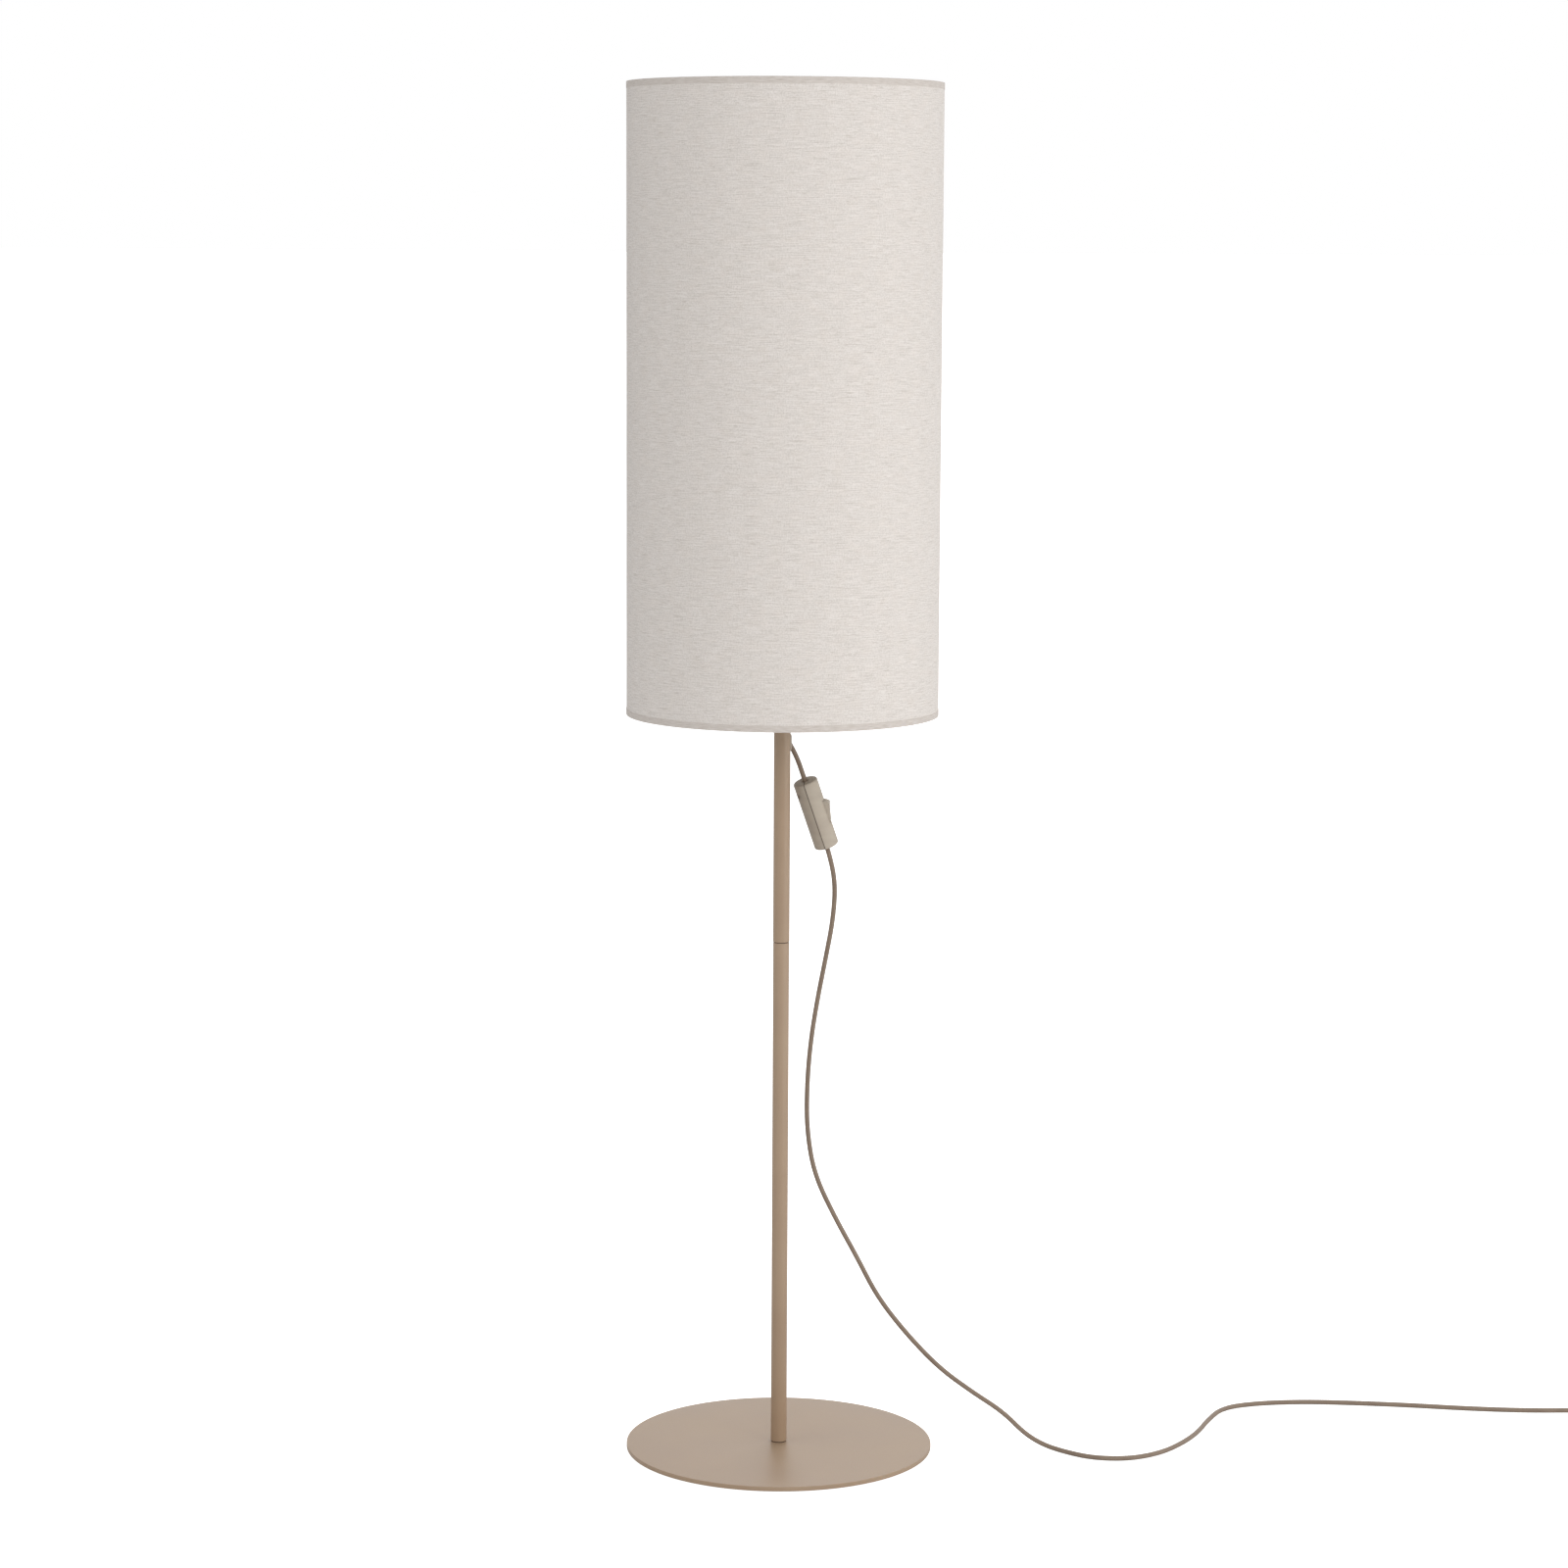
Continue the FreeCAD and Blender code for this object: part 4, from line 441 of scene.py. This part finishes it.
class Graph:
    """A material's nodes, with a Principled shader at their end."""

    def __init__(self, name, **surface):
        self.material = bpy.data.materials.new(name)
        self.material.use_nodes = True
        self.tree = self.material.node_tree
        self.shader = self.tree.nodes["Principled BSDF"]
        for socket, value in surface.items():
            self.shader.inputs[socket.replace("_", " ")].default_value = value

    def add(self, kind, inputs=None, **settings):
        made = self.tree.nodes.new(kind)
        for name, value in settings.items():
            setattr(made, name, value)
        for key, value in (inputs or {}).items():
            self.feed(made.inputs[key], value)
        return made

    def feed(self, socket, value):
        if isinstance(value, bpy.types.NodeSocket):
            self.tree.links.new(value, socket)
        elif isinstance(value, bpy.types.Node):
            self.tree.links.new(value.outputs[0], socket)
        else:
            socket.default_value = value

    def set(self, **surface):
        for socket, value in surface.items():
            self.feed(self.shader.inputs[socket.replace("_", " ")], value)

    def place(self):
        """The place in the object's own frame, in millimetres."""
        where = self.add("ShaderNodeTexCoord").outputs["Object"]
        return self.add("ShaderNodeVectorMath", {0: where, 1: (1 / MM, 1 / MM, 1 / MM)},
                        operation="MULTIPLY").outputs[0]

    def calc(self, operation, first, second=0.0, third=0.0):
        made = self.add("ShaderNodeMath", {0: first, 1: second, 2: third},
                        operation=operation)
        return made.outputs[0]

    def spread(self, value, low, high, to_low=0.0, to_high=1.0):
        """Stretches a value between two levels, smoothly and clamped."""
        made = self.add("ShaderNodeMapRange",
                        {0: value, 1: low, 2: high, 3: to_low, 4: to_high},
                        interpolation_type="SMOOTHSTEP")
        return made.outputs[0]

    def noise(self, vector, scale=1.0, detail=2.0, roughness=0.5):
        made = self.add("ShaderNodeTexNoise", {
            "Vector": vector, "Scale": scale, "Detail": detail, "Roughness": roughness})
        return made.outputs["Fac"]

    def stretched(self, vector, across, along, third=1.0, detail=2.0, roughness=0.5, shift=0.0):
        """Noise with cells of that size along each direction of the vector."""
        made = self.add("ShaderNodeVectorMath", {
            0: vector, 1: (1.0 / across, 1.0 / along, 1.0 / third), 2: (shift, shift, shift)},
            operation="MULTIPLY_ADD")
        return self.noise(made.outputs[0], detail=detail, roughness=roughness)

    def blend(self, share, first, second):
        """Mixes two colours; 6, 7 and 2 are the Mix node's colour sockets."""
        made = self.add("ShaderNodeMix", {0: share}, data_type="RGBA")
        self.feed(made.inputs[6], first)
        self.feed(made.inputs[7], second)
        return made.outputs[2]

    def bump(self, height, distance, strength=1.0):
        made = self.add("ShaderNodeBump", {
            "Height": height, "Distance": distance * MM, "Strength": strength})
        self.tree.links.new(made.outputs[0], self.shader.inputs["Normal"])

    def unrolled(self, radius):
        """The place on a shade that is rolled out flat from its seam: (along, height)."""
        split = self.add("ShaderNodeSeparateXYZ", {0: self.place()})
        back = self.calc("MULTIPLY", split.outputs[1], -1.0)
        angle = self.calc("ARCTAN2", split.outputs[0], back)
        along = self.calc("MULTIPLY", angle, radius)
        return self.add("ShaderNodeCombineXYZ", {0: along, 1: split.outputs[2]}).outputs[0]


LINEN_DARK = srgb(211, 204, 197)
LINEN_LIGHT = srgb(236, 230, 225)
LINEN_WARM = srgb(228, 218, 209)
LINEN_SLUB = srgb(185, 175, 164)
LINEN_SPECK = srgb(149, 135, 119)
# Painted shade, with a little soil, for the groove between the switch's shells and its edges.
SEAM_SOIL_AND_PAINTED_SHADE = srgb(74, 63, 54)


def linen():
    """Plain weave with uneven threads, slubs that run round the shade and dark specks."""
    g = Graph("linen", Roughness=0.92, Sheen_Weight=0.12, Sheen_Roughness=0.6,
              Specular_IOR_Level=0.18)
    flat = g.unrolled(SKIN_RADIUS)
    split = g.add("ShaderNodeSeparateXYZ", {0: flat})
    warp_bow = g.stretched(flat, 30.0, 6.0, shift=4.0)
    weft_bow = g.stretched(flat, 7.0, 26.0, shift=9.0)
    across = g.calc("MULTIPLY", split.outputs[0], 2 * math.pi / 0.62)
    across = g.calc("MULTIPLY_ADD", warp_bow, 9.0, across)
    along = g.calc("MULTIPLY", split.outputs[1], 2 * math.pi / 0.56)
    along = g.calc("MULTIPLY_ADD", weft_bow, 9.0, along)
    crossing = g.calc("MULTIPLY", g.calc("SINE", across), g.calc("SINE", along))
    knots = g.noise(flat, 0.62, 2.0, 0.6)
    weft_threads = g.stretched(flat, 19.0, 0.8, detail=3.0, roughness=0.66, shift=1.0)
    warp_threads = g.stretched(flat, 0.7, 7.0, detail=3.0, roughness=0.66, shift=2.0)
    slubs = g.spread(g.stretched(flat, 8.0, 0.85, detail=1.0, shift=5.0), 0.62, 0.76)
    long_slubs = g.spread(g.stretched(flat, 24.0, 0.9, detail=1.0, shift=6.0), 0.62, 0.74)
    upright_slubs = g.spread(g.stretched(flat, 0.8, 9.0, detail=1.0, shift=7.0), 0.64, 0.8)
    specks = g.spread(g.stretched(flat, 1.7, 0.8, detail=0.0, shift=12.0), 0.8, 0.88)
    warm = g.spread(g.stretched(flat, 15.0, 11.0, detail=2.0, shift=3.0), 0.4, 0.7)
    tone = g.calc("MULTIPLY_ADD", knots, 0.32, g.calc("MULTIPLY", weft_threads, 0.46))
    tone = g.calc("MULTIPLY_ADD", warp_threads, 0.22, tone)
    colour = g.blend(g.spread(tone, 0.38, 0.61), LINEN_DARK, LINEN_LIGHT)
    colour = g.blend(g.calc("MULTIPLY", warm, 0.2), colour, LINEN_WARM)
    colour = g.blend(g.calc("MULTIPLY", long_slubs, 0.42), colour, LINEN_SLUB)
    colour = g.blend(g.calc("MULTIPLY", slubs, 0.5), colour, LINEN_SLUB)
    colour = g.blend(g.calc("MULTIPLY", upright_slubs, 0.3), colour, LINEN_SLUB)
    colour = g.blend(g.calc("MULTIPLY", specks, 0.6), colour, LINEN_SPECK)
    g.set(Base_Color=colour)
    height = g.calc("MULTIPLY_ADD", crossing, 0.3, tone)
    height = g.calc("MULTIPLY_ADD", slubs, 0.6, height)
    g.bump(height, 0.12, 0.6)
    return g.material


def hem_tape():
    g = Graph("hem_tape", Roughness=0.88, Sheen_Weight=0.1, Specular_IOR_Level=0.2)
    flat = g.unrolled(SKIN_RADIUS)
    split = g.add("ShaderNodeSeparateXYZ", {0: flat})
    ribs = g.calc("SINE", g.calc("MULTIPLY", split.outputs[0], 2 * math.pi / 0.9))
    threads = g.stretched(flat, 9.0, 0.6, detail=3.0)
    tone = g.blend(g.spread(threads, 0.3, 0.7), srgb(199, 190, 182), srgb(222, 215, 209))
    g.set(Base_Color=g.blend(g.spread(ribs, -1.0, 1.0, 0.0, 0.18), tone, srgb(183, 173, 164)))
    g.bump(g.calc("MULTIPLY_ADD", threads, 0.8, g.calc("MULTIPLY", ribs, 0.3)), 0.1, 0.6)
    return g.material


def liner_film():
    """The white plastic film that the cloth is glued to."""
    g = Graph("liner_film", Specular_IOR_Level=0.35)
    place = g.place()
    g.set(Base_Color=g.blend(g.spread(g.noise(place, 0.03, 3.0), 0.3, 0.7),
                             srgb(236, 233, 228), srgb(245, 243, 239)),
          Roughness=g.spread(g.noise(place, 0.2, 2.0), 0.3, 0.7, 0.42, 0.58))
    g.bump(g.noise(place, 0.06, 3.0), 0.3, 0.3)
    return g.material


def painted(name, dark, light):
    """Powder coat: a fine orange peel with small bright and dull patches."""
    g = Graph(name, Specular_IOR_Level=0.5)
    place = g.place()
    peel = g.noise(place, 0.75, 3.0, 0.55)
    fine = g.noise(place, 3.2, 2.0, 0.6)
    cloud = g.noise(place, 0.012, 3.0, 0.5)
    tone = g.calc("MULTIPLY_ADD", fine, 0.35, g.calc("MULTIPLY", cloud, 0.65))
    g.set(Base_Color=g.blend(g.spread(tone, 0.3, 0.7), dark, light),
          Roughness=g.spread(g.calc("MULTIPLY_ADD", cloud, 0.5, g.calc("MULTIPLY", peel, 0.5)),
                             0.3, 0.7, 0.34, 0.44))
    g.bump(g.calc("MULTIPLY_ADD", fine, 0.35, peel), 0.035, 0.7)
    return g.material


def moulded(name, dark, light, roughness=(0.46, 0.6), grain=0.02, specular=0.4, seam=False):
    """Moulded plastic: a fine spark-eroded grain with faint flow marks and handling; with seam,
    painted shade and a little soil in the switch's groove.
    """
    g = Graph(name, Specular_IOR_Level=specular)
    place = g.place()
    grain_cells = g.noise(place, 2.6, 4.0, 0.65)
    flow = g.stretched(place, 30.0, 18.0, 9.0, detail=3.0)
    rubbed = g.noise(place, 0.09, 3.0, 0.6)
    tone = g.calc("MULTIPLY_ADD", grain_cells, 0.4, g.calc("MULTIPLY", flow, 0.6))
    colour = g.blend(g.spread(tone, 0.32, 0.68), dark, light)
    # Paints shade, with a little soil, into the groove between the switch's shells.
    if seam:
        colour = g.blend(seam_soil_and_painted_shade(g, place), colour, SEAM_SOIL_AND_PAINTED_SHADE)
    g.set(Base_Color=colour, Roughness=g.spread(rubbed, 0.3, 0.7, *roughness))
    g.bump(grain_cells, grain, 0.6)
    return g.material


def seam_soil_and_painted_shade(g, place):
    """How much painted shade and soil lie at a place of the switch: most in the groove between
    its shells.
    """
    offset = g.add("ShaderNodeVectorMath", {0: place, 1: SWITCH_TOP}, operation="SUBTRACT")
    across = g.add("ShaderNodeVectorMath", {0: offset, 1: ROCKER_WAY}, operation="DOT_PRODUCT")
    gap = g.calc("ABSOLUTE", across.outputs["Value"])
    groove = g.spread(gap, 0.3, 0.55, 0.8, 0.0)
    return g.calc("MAXIMUM", groove, g.spread(gap, 0.4, 2.0, 0.08, 0.0))


def metal(name, dark, light, roughness, turned=True, streaks=0.012):
    """Bare metal with fine turning marks or a drawn grain, and dulled patches."""
    g = Graph(name, Metallic=1.0)
    place = g.place()
    if turned:
        marks = g.stretched(place, 12.0, 12.0, 0.16, detail=3.0)
    else:
        marks = g.stretched(place, 0.5, 0.5, 6.0, detail=3.0)
    dull = g.noise(place, 0.18, 4.0, 0.6)
    g.set(Base_Color=g.blend(g.spread(dull, 0.32, 0.7), dark, light),
          Roughness=g.spread(g.calc("MULTIPLY_ADD", marks, 0.4, g.calc("MULTIPLY", dull, 0.6)),
                             0.3, 0.7, *roughness))
    g.bump(marks, streaks, 0.5)
    return g.material


def cord_sheath():
    """A matt plastic sheath: faint marks along it from its die, and a dusty bloom."""
    g = Graph("taupe_cord", Sheen_Weight=0.05, Specular_IOR_Level=0.35)
    place = g.place()
    bloom = g.noise(place, 0.05, 4.0, 0.6)
    fine = g.noise(place, 2.2, 3.0, 0.6)
    tone = g.calc("MULTIPLY_ADD", fine, 0.3, g.calc("MULTIPLY", bloom, 0.7))
    g.set(Base_Color=g.blend(g.spread(tone, 0.3, 0.7), srgb(128, 110, 95), srgb(144, 127, 111)),
          Roughness=g.spread(bloom, 0.3, 0.7, 0.42, 0.58))
    g.bump(g.calc("MULTIPLY_ADD", fine, 0.4, g.noise(place, 0.5, 2.0)), 0.03, 0.5)
    return g.material


def felt():
    g = Graph("felt", Roughness=0.97, Sheen_Weight=0.35, Specular_IOR_Level=0.1)
    place = g.place()
    fibres = g.stretched(place, 0.25, 1.6, 0.4, detail=5.0, roughness=0.7)
    tufts = g.noise(place, 0.7, 4.0, 0.65)
    g.set(Base_Color=g.blend(g.spread(g.calc("ADD", fibres, tufts), 0.75, 1.25),
                             srgb(62, 58, 55), srgb(98, 92, 87)))
    g.bump(g.calc("ADD", fibres, tufts), 0.25, 0.8)
    return g.material


def tie_strap():
    """A woven paper-twist strap: fine cross ribs."""
    g = Graph("tie_strap", Roughness=0.8)
    place = g.place()
    split = g.add("ShaderNodeSeparateXYZ", {0: place})
    ribs = g.calc("SINE", g.calc("MULTIPLY", split.outputs[2], 2 * math.pi / 0.7))
    threads = g.noise(place, 1.4, 4.0, 0.6)
    g.set(Base_Color=g.blend(g.spread(threads, 0.3, 0.7), srgb(168, 154, 138),
                             srgb(196, 184, 168)))
    g.bump(g.calc("MULTIPLY_ADD", ribs, 0.3, threads), 0.12, 0.6)
    return g.material


def opal_glass():
    g = Graph("opal_glass", Coat_Weight=0.35, Coat_Roughness=0.08, Subsurface_Weight=0.2)
    place = g.place()
    cloud = g.noise(place, 0.05, 3.0, 0.5)
    g.set(Base_Color=g.blend(g.spread(cloud, 0.3, 0.7), srgb(238, 236, 230), srgb(248, 247, 244)),
          Roughness=g.spread(cloud, 0.3, 0.7, 0.3, 0.4))
    g.bump(g.noise(place, 0.09, 2.0), 0.1, 0.2)
    return g.material


def ceramic():
    g = Graph("ceramic", Coat_Weight=0.4, Coat_Roughness=0.12)
    place = g.place()
    pits = g.noise(place, 1.1, 4.0, 0.6)
    g.set(Base_Color=g.blend(g.spread(pits, 0.3, 0.7), srgb(226, 220, 208), srgb(240, 236, 227)),
          Roughness=g.spread(g.noise(place, 0.25, 3.0), 0.3, 0.7, 0.3, 0.5))
    g.bump(pits, 0.05, 0.4)
    return g.material


MATERIALS = {
    "linen": linen(),
    "hem_tape": hem_tape(),
    "liner_film": liner_film(),
    "painted_taupe": painted("painted_taupe", srgb(163, 138, 114), srgb(171, 147, 122)),
    "taupe_plastic": moulded("taupe_plastic", srgb(177, 165, 150), srgb(186, 175, 159)),
    "white_plastic": moulded("white_plastic", srgb(226, 223, 216), srgb(236, 234, 229)),
    "black_plastic": moulded("black_plastic", srgb(28, 27, 26), srgb(40, 39, 38)),
    "dark_rubber": moulded("dark_rubber", srgb(70, 60, 52), srgb(84, 73, 64), (0.7, 0.85), 0.03,
                           0.25),
    "steel": metal("steel", srgb(150, 149, 146), srgb(186, 185, 182), (0.3, 0.48)),
    "chromed_steel": metal("chromed_steel", srgb(205, 206, 208), srgb(228, 229, 231),
                           (0.1, 0.22), turned=False, streaks=0.006),
    "brass": metal("brass", srgb(186, 152, 92), srgb(214, 182, 120), (0.24, 0.4)),
    "aluminium": metal("aluminium", srgb(186, 187, 188), srgb(212, 213, 214), (0.28, 0.42)),
    "felt": felt(),
    "ceramic": ceramic(),
    "opal_glass": opal_glass(),
    "taupe_cord": cord_sheath(),
    "tie_strap": tie_strap(),
}

# The switch's shells are like the other plastic; the rear shell is painted darker, partly as
# painted shade on its side turned from the light, and both carry painted shade and soil at their
# seam.
SHELL_LIT_AND_SHADED_MATERIALS = {
    "switch_front_half": moulded("switch_front_shell", srgb(179, 167, 152), srgb(188, 177, 161),
                                 seam=True),
    "switch_rear_half": moulded("switch_rear_shell_painted_shade", srgb(166, 154, 140), srgb(175, 164, 149),
                                seam=True),
}


def dress(piece, slot):
    data = piece.data
    data.materials.clear()
    data.materials.append(SHELL_LIT_AND_SHADED_MATERIALS.get(piece.name, MATERIALS[slot]))


for row in frame["record"]["subparts"]:
    dress(nodes[row["node"]], row["material_slot"])
for piece in [item for item in bpy.data.objects if item.get("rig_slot")]:
    dress(piece, piece["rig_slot"])

# ---------------------------------------------------------------- light and floor

# From here on in metres: the floor, and each area lamp with its place, what it faces,
# its width and height, and its power in watts.
FLOOR_HALF = 400.0
FLOOR_DROP = 0.0002
WHITE = (1.0, 1.0, 1.0, 1.0)
ROOM_LIGHT = 0.48
LAMPS = [
    ("key", (2.4, -2.6, 2.3), (0.0, 0.0, 0.8), 1.6, 2.4, 9.3),
    ("low_key", (2.6, -1.8, 0.7), (0.0, 0.0, 0.6), 1.4, 1.4, 17.2),
    ("right_edge", (3.0, 0.3, 1.2), (0.0, 0.0, 0.8), 1.5, 2.4, 13.2),
    ("fill", (-2.8, -2.2, 1.4), (0.0, 0.0, 0.7), 1.8, 2.4, 7.2),
    ("left_edge", (-3.0, 0.5, 1.2), (0.0, 0.0, 0.8), 1.5, 2.4, 5.4),
    ("front", (0.2, -4.2, 2.4), (0.0, 0.0, 0.7), 2.0, 2.0, 42.0),
    ("back", (0.6, 2.6, 3.0), (0.0, 0.0, 0.2), 2.4, 2.0, 36.0),
]


def make_floor():
    """A wide floor that lights the lamp from below and is plain white to the camera."""
    made = bmesh.new()
    bmesh.ops.create_grid(made, x_segments=1, y_segments=1, size=FLOOR_HALF)
    mesh = bpy.data.meshes.new("studio_floor")
    made.to_mesh(mesh)
    made.free()
    floor = bpy.data.objects.new("studio_floor", mesh)
    floor.location.z = -FLOOR_DROP
    scene.collection.objects.link(floor)
    g = Graph("studio_floor", Base_Color=(0.82, 0.82, 0.82, 1.0), Roughness=0.9,
              Emission_Color=WHITE)
    g.set(Emission_Strength=g.add("ShaderNodeLightPath").outputs["Is Camera Ray"])
    mesh.materials.append(g.material)


def make_world():
    """Soft white light all round; seen or mirrored, the background is plain white."""
    world = bpy.data.worlds.new("studio")
    world.use_nodes = True
    tree = world.node_tree
    glow = tree.nodes["Background"]
    glow.inputs[0].default_value = WHITE
    glow.inputs[1].default_value = ROOM_LIGHT
    seen = tree.nodes.new("ShaderNodeBackground")
    seen.inputs[0].default_value = WHITE
    seen.inputs[1].default_value = 1.0
    choice = tree.nodes.new("ShaderNodeMixShader")
    path = tree.nodes.new("ShaderNodeLightPath")
    plain = tree.nodes.new("ShaderNodeMath")
    plain.operation = "MAXIMUM"
    tree.links.new(path.outputs["Is Camera Ray"], plain.inputs[0])
    tree.links.new(path.outputs["Is Glossy Ray"], plain.inputs[1])
    tree.links.new(plain.outputs[0], choice.inputs[0])
    tree.links.new(glow.outputs[0], choice.inputs[1])
    tree.links.new(seen.outputs[0], choice.inputs[2])
    tree.links.new(choice.outputs[0], tree.nodes["World Output"].inputs[0])
    scene.world = world


def make_lamp(name, place, target, width, height, power):
    data = bpy.data.lights.new(name, "AREA")
    data.shape = "RECTANGLE"
    data.size = width
    data.size_y = height
    data.energy = power
    lamp = bpy.data.objects.new(name, data)
    lamp.location = place
    lamp.rotation_euler = (Vector(target) - Vector(place)).to_track_quat("-Z", "Y").to_euler()
    scene.collection.objects.link(lamp)


make_floor()
make_world()
for lamp in LAMPS:
    make_lamp(*lamp)
scene.view_settings.view_transform = "Standard"
scene.view_settings.look = "None"
